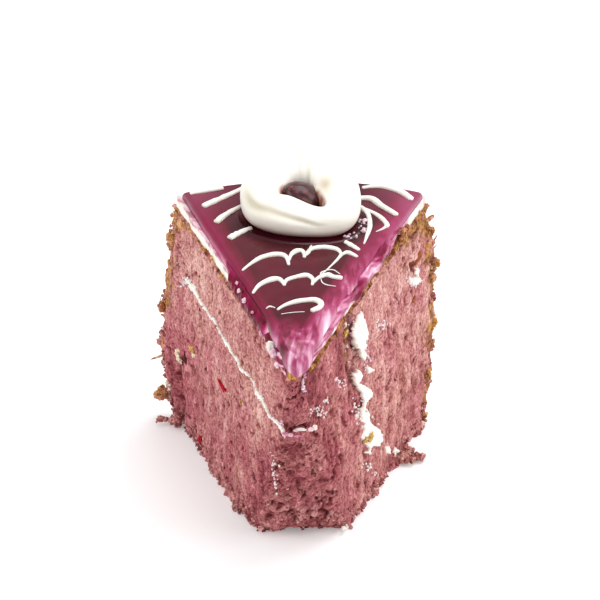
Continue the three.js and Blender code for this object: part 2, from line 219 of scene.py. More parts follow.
# Blueberry glaze over white cream, from a bare film at 0 to a deep pool at 1
gel = palette(
    (0, 248, 238, 240),
    (0.2, 232, 182, 200),
    (0.38, 200, 100, 142),
    (0.48, 176, 36, 100),
    (0.58, 146, 18, 74),
    (0.78, 108, 14, 42),
    (1, 68, 8, 20),
)

# Where the glaze and the cream are dragged into each other, which is duller than the plain gel
marbled = palette(
    (0, 240, 216, 228),
    (0.25, 210, 146, 175),
    (0.5, 170, 72, 112),
    (0.72, 138, 34, 72),
    (1, 98, 16, 40),
)

RED = srgb(184, 26, 44)
YELLOW = srgb(198, 162, 92)
PALE = srgb(236, 220, 196)
BROWN = srgb(150, 84, 48)
GOLD = srgb(186, 132, 66)
DARK = srgb(84, 32, 38)
STEP_SHADOW = srgb(128, 92, 44)
CLEFT_SHADOW = srgb(88, 44, 58)
# Painted shadow beside the smear, where it stands off the face
SMEAR_SHADOW = srgb(150, 112, 76)
GLAZE_CORNER = srgb(136, 60, 86)
RING_SHADOW = srgb(44, 8, 16)
CREAM_SHADE = srgb(204, 196, 174)
CREAM_DENT_SHADE = srgb(204, 188, 162)
CREAM_UNDERSIDE_SHADE = srgb(136, 92, 80)
BERRY_JUICE = srgb(158, 84, 56)


# ---- Places ----
def polar(radius, angle, z):
    """A point at a distance from the whole cake's centre line, at an angle from the middle line."""
    x, y, z = np.broadcast_arrays(radius * np.sin(angle), CENTRE_Y + radius * np.cos(angle), z)
    return np.stack([x, y, z], -1)


def on_face(side, along, out, z):
    """A place on a cut face: along it from the cake's centre line, out from it, and up."""
    x = side * (along * math.sin(HALF_ANGLE) + out * math.cos(HALF_ANGLE))
    y = CENTRE_Y + along * math.cos(HALF_ANGLE) - out * math.sin(HALF_ANGLE)
    return np.stack(np.broadcast_arrays(x, y, z), -1)


def sponge_top(radius):
    tip = unit(1 - radius / TIP_DROOP_LENGTH)
    return SPONGE_TOP_AT_RIM - SPONGE_TOP_SLOPE * (CAKE_RADIUS - radius) - TIP_DROOP * tip * tip


def filling_bottom(radius):
    return FILLING_AT_CENTRE + FILLING_SLOPE * radius


def filling_top(radius):
    return filling_bottom(radius) + FILLING_BAND


def glaze_bottom(radius):
    return sponge_top(radius) + CREAM_COAT


def glaze_top(radius):
    return glaze_bottom(radius) + GLAZE_THICKNESS


def table(radius):
    return 0 * radius


SPOT_TOP = float(glaze_top(CAKE_RADIUS / 2 + RING_CENTRE_Y))


# ---- The torn sponge ----
def face_start(side, z):
    cut, power = POINT_CUT[side]
    return POINT_LEFT + cut * (1 - unit(z / FACE_HEIGHT)) ** power


def step_along(z):
    return STEP_AT_TOP + STEP_SLANT * (STEP_TOP - z)


def step_back(side, along, z):
    """The knife started again partway down the right-hand face, so the front of it is set back."""
    if side == LEFT:
        return 0 * along
    return STEP_BACK * smoothstep(z, 28, 55) * falling(along, step_along(z) - 2.5, step_along(z) + 1.5)


def rim_radius(angle, z):
    broken = 5 * smoothstep(angle, 0.6 * HALF_ANGLE, HALF_ANGLE) * falling(z, 18, 25)
    return np.interp(z, BAKED_SIDE_HEIGHTS, BAKED_SIDE_RADII) - broken


def rim_spread(side, along, z):
    near = smoothstep(along, 84, 104)
    if side == RIGHT:
        return 0.9 * near
    middle = np.sin(math.pi * unit(z / 66))
    groove = bump(along, 97, 2.2) * falling(z, 22, 34)
    return near * (0.6 + 3 * middle) - RIM_GROOVE * groove


def face_form(side, along, z):
    """How far the torn face stands out, without its crumb."""
    flat = on_face(side, along, 0.0, z)
    x, y, z = flat[..., 0], flat[..., 1], flat[..., 2]
    lumps = noises(x, y, (0.5, 3.4, 3.4, z / 3.4), (0.55, 8, 8, z / 8))
    drag = (0.45 if side == LEFT else 0.8) * noise(along / 4.2, 9.0 * side, z / 24)
    start = face_start(side, z)
    low = 1 - unit(z / FACE_HEIGHT)
    leaning = FOOT_FLARE * low**1.2 * smoothstep(along, start - 8, start + 14)
    return leaning - step_back(side, along, z) + rim_spread(side, along, z) + lumps + drag


def crumb(p, q, seed, coarse):
    """Open crumb: how far it stands out, and how light it looks, from 0 to 1. p is level, q upright."""
    p = p + noises(p, q, (0.9, 2.1, 2.6, seed + 40), (0.35, 0.9, 1.1, seed + 44))
    q = q + 1.1 * noise(p / 2.3, q / 3.1, seed + 42)
    patchy = noise(p / 7, q / 9, seed + 41)
    clump = noise(p / 2.4, q / 3.0, seed + 33)
    open_from = 0.38 - 0.14 * patchy - 0.1 * coarse
    pores = smoothstep(layered(p / 1.7, q / 2.5, seed + 10, 2), open_from, open_from + 0.35)
    pricks = smoothstep(noise(p / 0.62, q / 0.85, seed + 20), 0.35, 0.8)
    streak = noise(p / 0.9, q / 7, seed + 31)
    drawn = noise(p / 2.8, q / 17, seed + 35)
    grain = noise(p / 0.7, q / 0.9, seed + 32)
    speck = 2 * hash3(np.floor(p / 0.3), np.floor(q / 0.33), seed + 34) - 1
    out = 0.1 * streak + 0.05 * grain + 0.05 * speck + (0.1 + 0.4 * coarse) * clump
    out = out - (0.5 + 0.6 * coarse) * pores - 0.12 * pricks
    # The light follows the relief, higher where the crumb stands out and lower in its pores and pricks:
    # painted light and shade, over a tone of its own.
    light = 0.6 + 0.08 * streak + 0.08 * drawn + 0.06 * grain + 0.1 * speck + 0.1 * clump + 0.05 * patchy
    return out, unit(light - 0.42 * pores - 0.18 * pricks)


def face_coarse(side, along, z):
    """The right-hand face is torn more coarsely, and both are near the point at the table."""
    low = bump(along, face_start(side, z), 9) * falling(z, 10, 45)
    return unit((0.15 if side == LEFT else 0.55) + 0.8 * low)


def face_skin(side, along, z):
    """The finished face: how far it stands out, and how light its crumb is."""
    out, light = crumb(along, z, 100 + 50 * side, face_coarse(side, along, z))
    return face_form(side, along, z) + out, light


def crust_depth(side, along, z):
    """How much of the face, down from the top edge, is baked skin."""
    ragged = 1 + noises(along, z, (0.45, 3.1, 5, 60 + side), (0.3, 1.1, 1.3, 61))
    if side == LEFT:
        depth = 0.5 + 1.5 * smoothstep(along, 52, 75) + 2.5 * smoothstep(along, 80, 92)
        depth = depth + 6 * smoothstep(along, 90, 102)
    else:
        front = FRONT_CRUST * falling(along, 41, 47)
        depth = front + 0.8 + 5 * smoothstep(along, 76, 88) + 4 * smoothstep(along, 92, 101)
    return depth * ragged


def crust_at_rim(side, z):
    """How much of the face, in from the baked side, is baked skin."""
    if side == LEFT:
        return 2.0 + 3.6 * smoothstep(z, 38, 44)
    return 2.4 + 3.8 * smoothstep(z, 18, 28)


def face_colour(side, along, z, light):
    rose = 0.45 + noises(along, z, (0.32, 15, 13, 70 + side), (0.3, 5, 8, 71))
    rose = rose + noises(along, z, (0.22, 1.5, 4, 73), (0.12, 0.6, 0.8, 74))
    low = falling(z, 22, 54)
    if side == LEFT:
        rose = rose + 0.25 * low + 0.25 * smoothstep(along, 60, 95) * low - 0.25 * smoothstep(z, 45, 72)
        # Painted shade under the overhanging front of the glaze's left edge: darker and rosier.
        overhang_shade = falling(sponge_top(along) - z, 3, 15) * falling(along, 26, 44)
        light = light - 0.07 * low - 0.16 * overhang_shade
        rose = rose + 0.3 * overhang_shade
    else:
        # Painted shade where the front of the face is set back: darker and rosier.
        recess_shade = falling(along, 36, 48) * smoothstep(z, 34, 58)
        rose = rose + 0.5 * recess_shade + 0.15 * low - 0.1
        light = light - 0.1 * recess_shade - 0.06 * low
    # Darker and rosier near the point: painted shade where the faces turn toward the point, which the lamps
    # reach less.
    near_point = falling(along - face_start(side, z), 2, 12)
    rose = rose + 0.35 * near_point
    light = unit(light - 0.12 * near_point)
    colour = mix(crumb_tan(light), crumb_rose(light), unit(rose))
    from_top = sponge_top(along) - z
    depth = crust_depth(side, along, z)
    crust = falling(from_top, 0.6 * depth, 1.2 * depth)
    rim = rim_radius(side * HALF_ANGLE, z) - along
    ragged = 1 + 0.6 * noise(z / 4, side, 62) + 0.4 * noise(z / 1.3, along / 1.3, 63)
    skin = crust_at_rim(side, z) * ragged
    crust = np.maximum(crust, falling(rim, 0.6 * skin, 1.3 * skin))
    speckle = smoothstep(noise(along / 0.9, z / 1.0, 64 + side), -0.6, 0.1)
    patchy = speckle if side == LEFT else lerp(0.7, 1, speckle)
    darker = 0.16 if side == LEFT else 0.3
    baked = crust_brown(unit(light - darker + 0.3 * noise(along / 1.7, z / 1.7, 65)))
    colour = mix(colour, baked, crust * patchy)
    if side == RIGHT:
        level = z + FACE_SLANT * (along - SMEAR_AT)
        shadow = bump(along, 40.5, 2.2) * bump(level, 57, 5)
        colour = mix(colour, STEP_SHADOW, 0.75 * shadow)
        cleft = bump(along - step_along(z), -1.2, 1.1) * smoothstep(z, 61, 68)
        colour = mix(colour, CLEFT_SHADOW, 0.75 * cleft)
    return colour


def face_vertices(side, share, z):
    start = face_start(side, z)
    along = lerp(start, rim_radius(side * HALF_ANGLE, z) - 1.5, share)
    out, light = face_skin(side, along, z)
    foot = falling(z, 1, 7)
    out = out + foot * (noises(along, z, (0.9, 2.1, 4, 35), (0.6, 0.9, 2, 36)) - 0.3)
    torn = smoothstep(share, 0.95, 1.0)
    jags = 1.6 * noise(z / 5.5, side, 39) + 1.2 * noise(z / 2.3, side, 37) + 0.5 * noise(z / 0.8, side, 38)
    along = along + torn * jags
    return on_face(side, along, out, z), face_colour(side, along, z, light)


def rim_vertices(share, z):
    """The baked side, with its skin broken here and there down to the crumb."""
    angle = lerp(HALF_ANGLE, -HALF_ANGLE, share)
    radius = rim_radius(angle, z)
    flat = polar(radius, angle, z)
    x, y = flat[..., 0], flat[..., 1]
    bumps = noises(x, y, (0.7, 9, 9, z / 9), (0.5, 3.5, 3.5, z / 3.5))
    near_corner = smoothstep(np.abs(angle), 0.8 * HALF_ANGLE, HALF_ANGLE)
    torn = smoothstep(layered(x / 7, z / 9, 5.0) + 0.6 * near_corner, 0.3, 0.55)
    inside, light = crumb(x, z, 300, 0.5)
    wrinkle = layered(x / 2.3, z / 2.8, 8.0)
    # The skin is lighter where its wrinkles stand out: painted light on the wrinkles.
    skin_light = unit(0.5 + 0.45 * wrinkle - 0.25 * pits(x, z, 2.2, 2.2, 310, 0.4))
    out = bumps + lerp(0.3 * wrinkle, inside - 0.7, torn)
    corners = [face_vertices(side, np.ones_like(z), z)[0] for side in (RIGHT, LEFT)]
    reach = [np.abs(np.arctan2(c[..., 0], c[..., 1] - CENTRE_Y)) for c in corners]
    spread = np.where(angle > 0, reach[0], reach[1])
    baked = crust_brown(skin_light) * (0.72 + 0.28 * smoothstep(z, 4, 40))[..., None]
    return polar(radius + out, angle / HALF_ANGLE * spread, z), mix(baked, crumb_tan(light), 0.85 * torn)


def point_vertices(share, z):
    """The crumbled point: wide and blunt at the table, narrow at the top."""
    left = face_vertices(LEFT, np.zeros_like(z), z)[0]
    right = face_vertices(RIGHT, np.zeros_like(z), z)[0]
    across = 2 * share - 1
    low = 1 - unit(z / FACE_HEIGHT)
    place = left + (right - left) * share[..., None]
    x, y = place[..., 0], place[..., 1]
    middle = 1 - np.abs(across) ** 6
    bulge = (1.4 + 1.4 * low) * (1 - np.abs(across) ** 2.5)
    rough = noise(x / 3, y / 3, z / 3) * (1 - across * across) * (0.5 + 1.1 * low)
    out, light = crumb(x * 1.3, z * 1.3, 400, 0.8 + 0.0 * z)
    place[..., 1] -= bulge + rough + middle * (1.25 * out + 0.9 * low * noise(x / 1.9, z / 1.9, 41))
    undercut = falling(z + 0.8 * noise(x / 2.5, 3.0, 44), 0.3, 3.4) * (1 - across * across)
    place[..., 1] += 2.6 * undercut
    crust = falling(sponge_top(POINT_LEFT) - z, 1.5, 3.4)
    # The point is coloured darker than the faces: painted shade on the front, which the lamps reach less.
    colour = mix(crumb_rose(light - 0.16), crumb_tan(light - 0.12), 0.2 + 0.2 * noise(x / 6, z / 6, 42))
    # Painted shade in the undercut at the table.
    colour = colour * (1 - 0.55 * undercut)[..., None]
    return place, mix(colour, crust_brown(light - 0.2), crust)


def columns_of(count):
    return np.arange(count) / count


def wall_rows(shares, place, low, high, levels):
    """Columns of a wall that stand between two level surfaces of the cake."""
    share, level = np.meshgrid(shares, np.linspace(0, 1, levels))
    z = lerp(low(TYPICAL_RADIUS), high(TYPICAL_RADIUS), level)
    for _ in range(2):
        at = place(share, z)[0]
        radius = np.hypot(at[..., 0], at[..., 1] - CENTRE_Y)
        z = lerp(low(radius), high(radius), level)
    return place(share, z)


def wall(low, high, face=face_vertices, rim=rim_vertices, point=point_vertices, fine=1.0):
    """A closed wall round the slice: right face, rim, left face and point, with a flat top and bottom."""
    tall = high(TYPICAL_RADIUS) - low(TYPICAL_RADIUS)
    levels = max(3, int(tall / (LEVEL_HEIGHT * fine)))
    face_columns = int(FACE_COLUMNS / fine)
    parts = [
        wall_rows(columns_of(face_columns), lambda s, z: face(RIGHT, s, z), low, high, levels),
        wall_rows(columns_of(RIM_COLUMNS), rim, low, high, levels),
        wall_rows(1 - columns_of(face_columns), lambda s, z: face(LEFT, s, z), low, high, levels),
        wall_rows(columns_of(POINT_COLUMNS), point, low, high, levels),
    ]
    places = np.concatenate([p for p, _ in parts], 1)
    colours = np.concatenate([c for _, c in parts], 1)
    return closed_tube(places, colours)


# ---- Meshes as (places, faces, colours), with three corners to a face ----
def quads_to_faces(a, b, c, d):
    quads = np.stack([a, b, c, d], -1).reshape(-1, 4)
    return np.concatenate([quads[:, [0, 1, 2]], quads[:, [0, 2, 3]]])


def closed_tube(places, colours):
    """Rings of vertices one after another, joined by faces and closed at both ends by a fan."""
    rows, size = places.shape[:2]
    index = np.arange(rows * size).reshape(rows, size)
    turned = np.roll(index, -1, 1)
    sides = quads_to_faces(index[:-1], turned[:-1], turned[1:], index[1:])
    ends = places[[0, -1]].mean(1)
    end_colours = colours[[0, -1]].mean(1)
    first = np.full(size, rows * size)
    last = first + 1
    caps = [np.stack([turned[0], index[0], first], -1), np.stack([index[-1], turned[-1], last], -1)]
    faces = np.concatenate([sides, *caps])
    return (
        np.concatenate([places.reshape(-1, 3), ends]),
        faces,
        np.concatenate([colours.reshape(-1, 3), end_colours]),
    )


def joined(parts):
    places, faces, colours = [], [], []
    count = 0
    for part in parts:
        places.append(part[0])
        faces.append(part[1] + count)
        colours.append(part[2])
        count += len(part[0])
    return np.concatenate(places), np.concatenate(faces), np.concatenate(colours)


def without_spares(places, faces, colours):
    """The same mesh without the vertices that no face uses."""
    used = np.unique(faces)
    number = np.zeros(len(places), int)
    number[used] = np.arange(len(used))
    return places[used], number[faces], colours[used]


def skin_patch(side, alongs, heights, height, colour, base, foot=table):
    """A skin laid over a cut face, up from foot(along), wherever height(along, z) is above nothing."""
    along, z = np.meshgrid(alongs, heights)
    z = z + foot(along)
    above = height(along, z)
    places = on_face(side, along, base(along, z) + above, z)
    colours = colour(along, z, above)
    index = np.arange(along.size).reshape(along.shape)
    corners = [index[:-1, :-1], index[:-1, 1:], index[1:, 1:], index[1:, :-1]]
    if side == LEFT:
        corners = corners[::-1]
    faces = quads_to_faces(*corners)
    tallest = above.reshape(-1)[faces].max(1)
    return without_spares(places.reshape(-1, 3), faces[tallest > SKIN_SHOWS], colours.reshape(-1, 3))


def plain_base(out):
    """A flat place for a skin to lie on."""
    return lambda along, z: out + 0 * along


def unit_ball(detail):
    mesh = bmesh.new()
    bmesh.ops.create_icosphere(mesh, subdivisions=detail, radius=1)
    mesh.verts.ensure_lookup_table()
    places = np.array([v.co[:] for v in mesh.verts])
    faces = np.array([[v.index for v in f.verts] for f in mesh.faces])
    mesh.free()
    return places, faces


BALLS = {detail: unit_ball(detail) for detail in (2, 3, 4, 5)}


def lump(centre, half, turn, seed, colour, detail, roughness):
    """An uneven lump of crumb or cream, turned about the vertical."""
    ball, faces = BALLS[detail]
    x, y, z = ball.T
    rough = 0.7 * noise(1.7 * x + seed, 1.7 * y, 1.7 * z) + 0.5 * noise(3.6 * x + seed, 3.6 * y, 3.6 * z)
    fine = noise(8 * x + seed, 8 * y, 8 * z)
    places = ball * (1 + roughness * (rough + 0.35 * fine))[:, None] * np.array(half)
    c, s = math.cos(turn), math.sin(turn)
    places = places @ np.array([[c, s, 0], [-s, c, 0], [0, 0, 1]]) + np.array(centre)
    places[:, 2] = np.maximum(places[:, 2], 0.02)
    # Lighter where the lump bulges out and darker where it dips: painted light and shade on its bumps.
    light = unit(0.5 + 0.3 * rough + 0.35 * fine)
    return places, faces, colour(light)


def tumbled(draw, centre, half, colour, detail, roughness):
    """A lump at a random turn, with an unevenness of its own."""
    return lump(centre, half, draw.uniform(0, 6), draw.uniform(0, 90), colour, detail, roughness)


# ---- Materials ----
class Finish:
    """A material with its nodes and its shader."""

    def __init__(self, name, roughness, specular):
        self.material = bpy.data.materials.new(name)
        self.material.use_nodes = True
        self.tree = self.material.node_tree
        self.shader = self.tree.nodes["Principled BSDF"]
        self.settle(self.shader, {"Roughness": roughness, "Specular IOR Level": specular})

    def settle(self, node, inputs):
        """Link each of a node's inputs to a socket, or set it to a number or a colour."""
        for name, value in inputs.items():
            if isinstance(value, bpy.types.NodeSocket):
                self.tree.links.new(value, node.inputs[name])
            else:
                node.inputs[name].default_value = value

    def node(self, kind, inputs, output, **settings):
        """The output of a new node."""
        node = self.tree.nodes.new("ShaderNode" + kind)
        for name, value in settings.items():
            setattr(node, name, value)
        self.settle(node, inputs)
        return node.outputs[output]

    def object_place(self):
        return self.node("TexCoord", {}, "Object")

    def vertex_colour(self):
        return self.node("Attribute", {}, "Color", attribute_name="tint")

    def grain(self, place, scale, detail=4.0):
        return self.node("TexNoise", {"Vector": place, "Scale": scale, "Detail": detail}, "Fac")

    def times(self, first, second):
        return self.node("VectorMath", {0: first, 1: second}, "Vector", operation="MULTIPLY")

    def stops(self, value, *stops):
        """A colour for each value, from stops of (value, red, green, blue)."""
        colour = self.node("ValToRGB", {"Fac": value}, "Color")
        elements = colour.node.color_ramp.elements
        while len(elements) < len(stops):
            elements.new(0.5)
        for element, (place, *rgb) in zip(elements, stops):
            element.position = place
            element.color = (*rgb, 1)
        return colour

    def rough_surface(self, height, strength, distance):
        inputs = {"Height": height, "Strength": strength, "Distance": distance}
        self.settle(self.shader, {"Normal": self.node("Bump", inputs, "Normal")})


def grainy_material(name, roughness, specular, scale, contrast, strength, distance, more):
    """The colour of the vertices with two sizes of grain over it, and more inputs of the shader."""
    finish = Finish(name, roughness, specular)
    place = finish.object_place()
    fine = finish.grain(place, scale)
    coarse = finish.grain(place, scale / 4)
    half = finish.node("Math", {0: coarse, 1: 0.5}, 0, operation="MULTIPLY")
    both = finish.node("Math", {0: fine, 1: 0.5, 2: half}, 0, operation="MULTIPLY_ADD")
    reach = {"From Min": 0.3, "From Max": 0.7, "To Min": 1 - contrast, "To Max": 1 + contrast}
    grey = finish.node("MapRange", {"Value": both, **reach}, "Result")
    inputs = {0: finish.vertex_colour(), "Scale": grey}
    colour = finish.node("VectorMath", inputs, "Vector", operation="SCALE")
    finish.settle(finish.shader, {"Base Color": colour, **more})
    finish.rough_surface(fine, strength, distance)
    return finish.material


def sponge_material():
    """Crumb: dark red gaps and pale grains, much finer than the mesh, over the colour of the vertices."""
    finish = Finish("sponge_crumb", 0.9, 0.15)
    place = finish.object_place()
    grain = finish.grain(place, 1250, 5.0)
    threads = finish.grain(finish.times(place, (1, 1, 0.3)), 1100, 3.0)
    # The dark gaps lie where the bump below is lowest and the pale grains where it is highest: painted shade
    # and light at the size of the grain.
    gaps = finish.stops(
        grain,
        (0.33, 0.52, 0.36, 0.36),
        (0.45, 0.89, 0.83, 0.83),
        (0.53, 1.03, 1.03, 1.02),
        (0.68, 1.2, 1.25, 1.23),
    )
    lines = finish.stops(threads, (0.36, 0.85, 0.79, 0.8), (0.5, 1, 1, 1), (0.64, 1.12, 1.14, 1.12))
    colour = finish.times(finish.times(finish.vertex_colour(), gaps), lines)
    finish.settle(finish.shader, {"Base Color": colour})
    finish.rough_surface(grain, 0.3, 0.0004)
    return finish.material


# ---- Pieces ----
def add_piece(name, mesh_data, material, node):
    places, faces, colours = mesh_data
    mesh = bpy.data.meshes.new(name)
    mesh.from_pydata((places * MM).tolist(), [], faces.tolist())
    mesh.polygons.foreach_set("use_smooth", np.ones(len(faces), bool))
    tint = mesh.color_attributes.new("tint", "FLOAT_COLOR", "POINT")
    rgba = np.concatenate([unit(colours), np.ones((len(colours), 1))], 1)
    tint.data.foreach_set("color", rgba.astype(np.float32).ravel())
    mesh.materials.append(material)
    mesh.validate()
    mesh.update()
    piece = bpy.data.objects.new(name, mesh)
    bpy.context.scene.collection.objects.link(piece)
    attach(piece, "root")
    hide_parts(node)
    return piece


SOFT = {"Subsurface Weight": 0.25, "Subsurface Radius": (1.0, 0.85, 0.65), "Subsurface Scale": 0.0022}
WET = {"Coat Weight": 0.08, "Coat Roughness": 0.05}
WET_SKIN = {"Coat Weight": 0.15, "Coat Roughness": 0.06}
SPONGE = sponge_material()
CREAM = grainy_material("whipped_cream", 0.5, 0.4, 700, 0.02, 0.12, 0.0003, SOFT)
GLAZE = grainy_material("blueberry_glaze", 0.14, 0.22, 260, 0.08, 0.05, 0.0004, WET)
# The same glaze where it hangs in thick drips, which mirror less of the pale table
DRIP = grainy_material("glaze_drip", 0.18, 0.07, 260, 0.12, 0.05, 0.0004, {})
SKIN = grainy_material("berry_skin", 0.3, 0.3, 900, 0.25, 0.2, 0.0003, WET_SKIN)

# Torn bits that hang on the slice: side, along the face, out from it, height, half sizes along, out and up,
# and how crusty.
TORN_BITS = [
    (LEFT, 105.5, 6.2, 8.4, (3.0, 3.6, 2.4), 0.8),
    (LEFT, 97, 4.5, 3, (3.4, 3.4, 2.8), 0.0),
    (LEFT, 99, 7.6, 2.4, (1.2, 2.6, 0.7), 0.0),
    (LEFT, 100, 9.4, 2.3, (1.5, 1.6, 1.6), 0.0),
    (LEFT, 105, 3.4, 33, (1.8, 1.6, 4), 0.4),
    (LEFT, 103.5, 1.6, 66, (1.6, 1.4, 5), 0.9),
    (RIGHT, 76, 4, 2.2, (5.5, 4.2, 2.2), 0.1),
    (RIGHT, 77.5, 8, 1.6, (2.4, 3.6, 1.1), 0.1),
    (RIGHT, 103, 1.2, 70, (2.4, 2.0, 1.6), 0.9),
    (RIGHT, 106, 1, 51, (1.8, 2.0, 2.4), 0.9),
    (RIGHT, 105.5, 1.4, 26, (1.8, 2.0, 2.8), 0.8),
    (RIGHT, 80, 0.6, 81, (5.5, 0.8, 2.6), 0.8),
]
CRUMBS_IN_A_BIT = 22
CRUMBS_AT_FOOT = 150
CRUMBS_AT_EDGE = 260
CRUMBS_ON_FACE = 150
CRUMBS_AT_POINT = 110


def crusty(share, paler):
    def colour(light):
        light = unit(light + paler)
        crumbly = mix(crumb_rose(light), crumb_tan(light), np.full(light.shape, 0.5))
        return mix(crumbly, crust_brown(light), np.full(light.shape, share))

    return colour


def torn_bits():
    """Each torn bit is a heap of ragged crumbs, thickest in its middle."""
    draw = np.random.RandomState(11)
    lumps = []
    for side, along, out, z, half, crust in TORN_BITS:
        half = np.array([half[1], half[0], half[2]])
        centre = on_face(side, along, out, z)
        for _ in range(CRUMBS_IN_A_BIT):
            away = draw.normal(size=3)
            away = away / np.linalg.norm(away) * draw.uniform(0, 0.8) ** 0.6
            size = half.mean() * draw.uniform(0.3, 0.55) * (1.25 - np.linalg.norm(away))
            place = centre + away * half
            place[2] = max(place[2], 0.5 * size)
            shape = size * draw.uniform(0.7, 1.3, 3)
            colour = crusty(crust * draw.uniform(0.5, 1.1), draw.uniform(-0.25, 0.1))
            lumps.append(tumbled(draw, place, shape, colour, 3, 0.5))
    return lumps


def surface_out(side, along, z):
    return float(face_form(side, np.array([along]), np.array([z]))[0])


def loose_crumb(draw, place, size, shapes, crust, paler):
    """A small ragged crumb that lies no lower than the table."""
    place[2] = max(place[2], 0.4 * size)
    shape = size * draw.uniform(*shapes, 3)
    return tumbled(draw, place, shape, crusty(crust, draw.uniform(*paler)), 2, 0.55)


def loose_crumbs():
    """Small ragged crumbs that cling along the foot, up the torn edges and here and there on the faces."""
    draw = np.random.RandomState(5)
    lumps = []

    def add(side, along, z, off, size, crust):
        place = on_face(side, along, surface_out(side, along, z) + off, z)
        lumps.append(loose_crumb(draw, place, size, (0.5, 1.5), crust, (-0.2, 0.2)))

    for side in (LEFT, RIGHT):
        for _ in range(CRUMBS_AT_FOOT):
            z = draw.uniform(0, 1) ** 2 * 9
            along = draw.uniform(face_start(side, z) - 2, 100)
            size = 0.3 + 0.6 * draw.uniform(0, 1) ** 2
            add(side, along, z, draw.uniform(-0.4, 0.4), size, 0.0)
        for _ in range(CRUMBS_AT_EDGE):
            z = draw.uniform(0.5, 78)
            heap = float(noise(z / 6, 5.0 * side, 3.0)[0])
            along = rim_radius(side * HALF_ANGLE, z) - draw.uniform(0, 4) + 1.2 * heap
            size = 0.25 + 0.9 * draw.uniform(0, 1) ** 3
            gold = float(smoothstep(heap, -0.3, 0.3)) * draw.uniform(0.3, 1)
            gold = gold * (float(smoothstep(z, 30, 45)) if side == LEFT else 1.0)
            if draw.uniform(-0.7, 0.5) > heap:
                continue
            add(side, along, z, draw.uniform(-0.6, 0.4), size, gold)
        for _ in range(CRUMBS_ON_FACE):
            z = draw.uniform(2, 78)
            along = draw.uniform(face_start(side, z), 100)
            if abs(z - filling_bottom(along) - 1) < 2.2:
                continue
            add(side, along, z, -0.1, draw.uniform(0.2, 0.5), 0.05)
    for _ in range(CRUMBS_AT_POINT):
        z = draw.uniform(0, 1) ** 1.7 * 46
        share = draw.uniform(0, 1)
        place = point_vertices(np.array([share]), np.array([z]))[0][0]
        place[1] -= draw.uniform(-0.3, 0.5)
        size = draw.uniform(0.3, 1.0)
        lumps.append(loose_crumb(draw, place, size, (0.6, 1.4), 0, (-0.3, 0.15)))
    return lumps


# Bits that stand out by their colour: side, along the face, out from its surface, height, half sizes along,
# out and up, and the colour.
ACCENTS = [
    (LEFT, 59.4, 0.0, 37.3, (1.9, 0.45, 1.0), RED),
    (LEFT, 61.0, 0.0, 38.4, (1.5, 0.4, 0.5), RED),
    (LEFT, 52.9, 0.0, 20.8, (1.0, 0.35, 0.5), RED),
    (LEFT, 78.5, 0.0, 6.2, (1.2, 0.4, 1.2), RED),
    (LEFT, 87.8, 0.0, 34.9, (1.6, 0.5, 1.2), YELLOW),
    (LEFT, 86.6, 0.1, 33.0, (1.2, 0.5, 0.7), PALE),
    (LEFT, 96.6, 0.4, 28.4, (1.9, 0.9, 1.6), PALE),
    (LEFT, 95.6, 0.5, 26.8, (1.7, 0.7, 1.1), PALE),
    (LEFT, 92.6, -0.3, 29.5, (1.0, 0.4, 2.4), DARK),
    (LEFT, 43.8, 0.0, 41.1, (1.0, 0.35, 0.6), YELLOW),
    (LEFT, 102.0, 0.2, 14.0, (1.3, 0.6, 0.8), PALE),
    (LEFT, 104.0, 0.3, 42.0, (1.4, 0.8, 1.6), BROWN),
    (RIGHT, 50.2, 0.9, 24.6, (1.7, 0.5, 1.1), YELLOW),
    (RIGHT, 47.6, 0.7, 25.4, (1.3, 0.5, 0.9), YELLOW),
    (RIGHT, 41.2, 0.4, 66.6, (1.6, 0.6, 1.0), YELLOW),
    (RIGHT, 42.0, 0.3, 68.6, (1.0, 0.5, 0.7), PALE),
    (RIGHT, 94.0, -0.1, 64.8, (3.2, 0.6, 1.2), BROWN),
    (RIGHT, 89.5, -0.1, 52.0, (1.4, 0.4, 0.9), BROWN),
    (RIGHT, 107.6, 0.4, 55.8, (1.3, 1.2, 1.3), GOLD),
    (RIGHT, 106.6, 0.2, 34.0, (1.6, 0.8, 1.0), GOLD),
]


def accents():
    lumps = []
    for number, (side, along, out, z, half, tone) in enumerate(ACCENTS):
        centre = on_face(side, along, surface_out(side, along, z) + out, z)
        shape = (half[1], half[0], half[2])

        def colour(light, tone=tone):
            return tone * (0.55 + 0.9 * light)[:, None]

        lumps.append(lump(centre, shape, -side * HALF_ANGLE, 11 * number, colour, 4, 0.7))
    return lumps


# Shreds that stick out of the torn edges: side, the place of each end as along, out and up, and half width.
SHREDS = [
    (LEFT, (104.0, 2.0, 24.4), (108.0, 9.0, 20.6), 0.42),
    (LEFT, (105.0, 2.0, 36.0), (109.0, 4.4, 36.4), 0.5),
    (LEFT, (105.0, 2.0, 32.4), (109.5, 4.6, 31.0), 0.4),
    (RIGHT, (104.0, 0.4, 62.0), (109.5, 1.6, 65.2), 0.3),
    (RIGHT, (104.0, 0.6, 61.0), (111.0, 1.0, 60.6), 0.22),
    (RIGHT, (103.0, 0.0, 73.0), (108.5, 0.6, 72.4), 0.7),
    (RIGHT, (105.0, 1.0, 24.0), (109.0, 1.2, 22.0), 0.5),
]


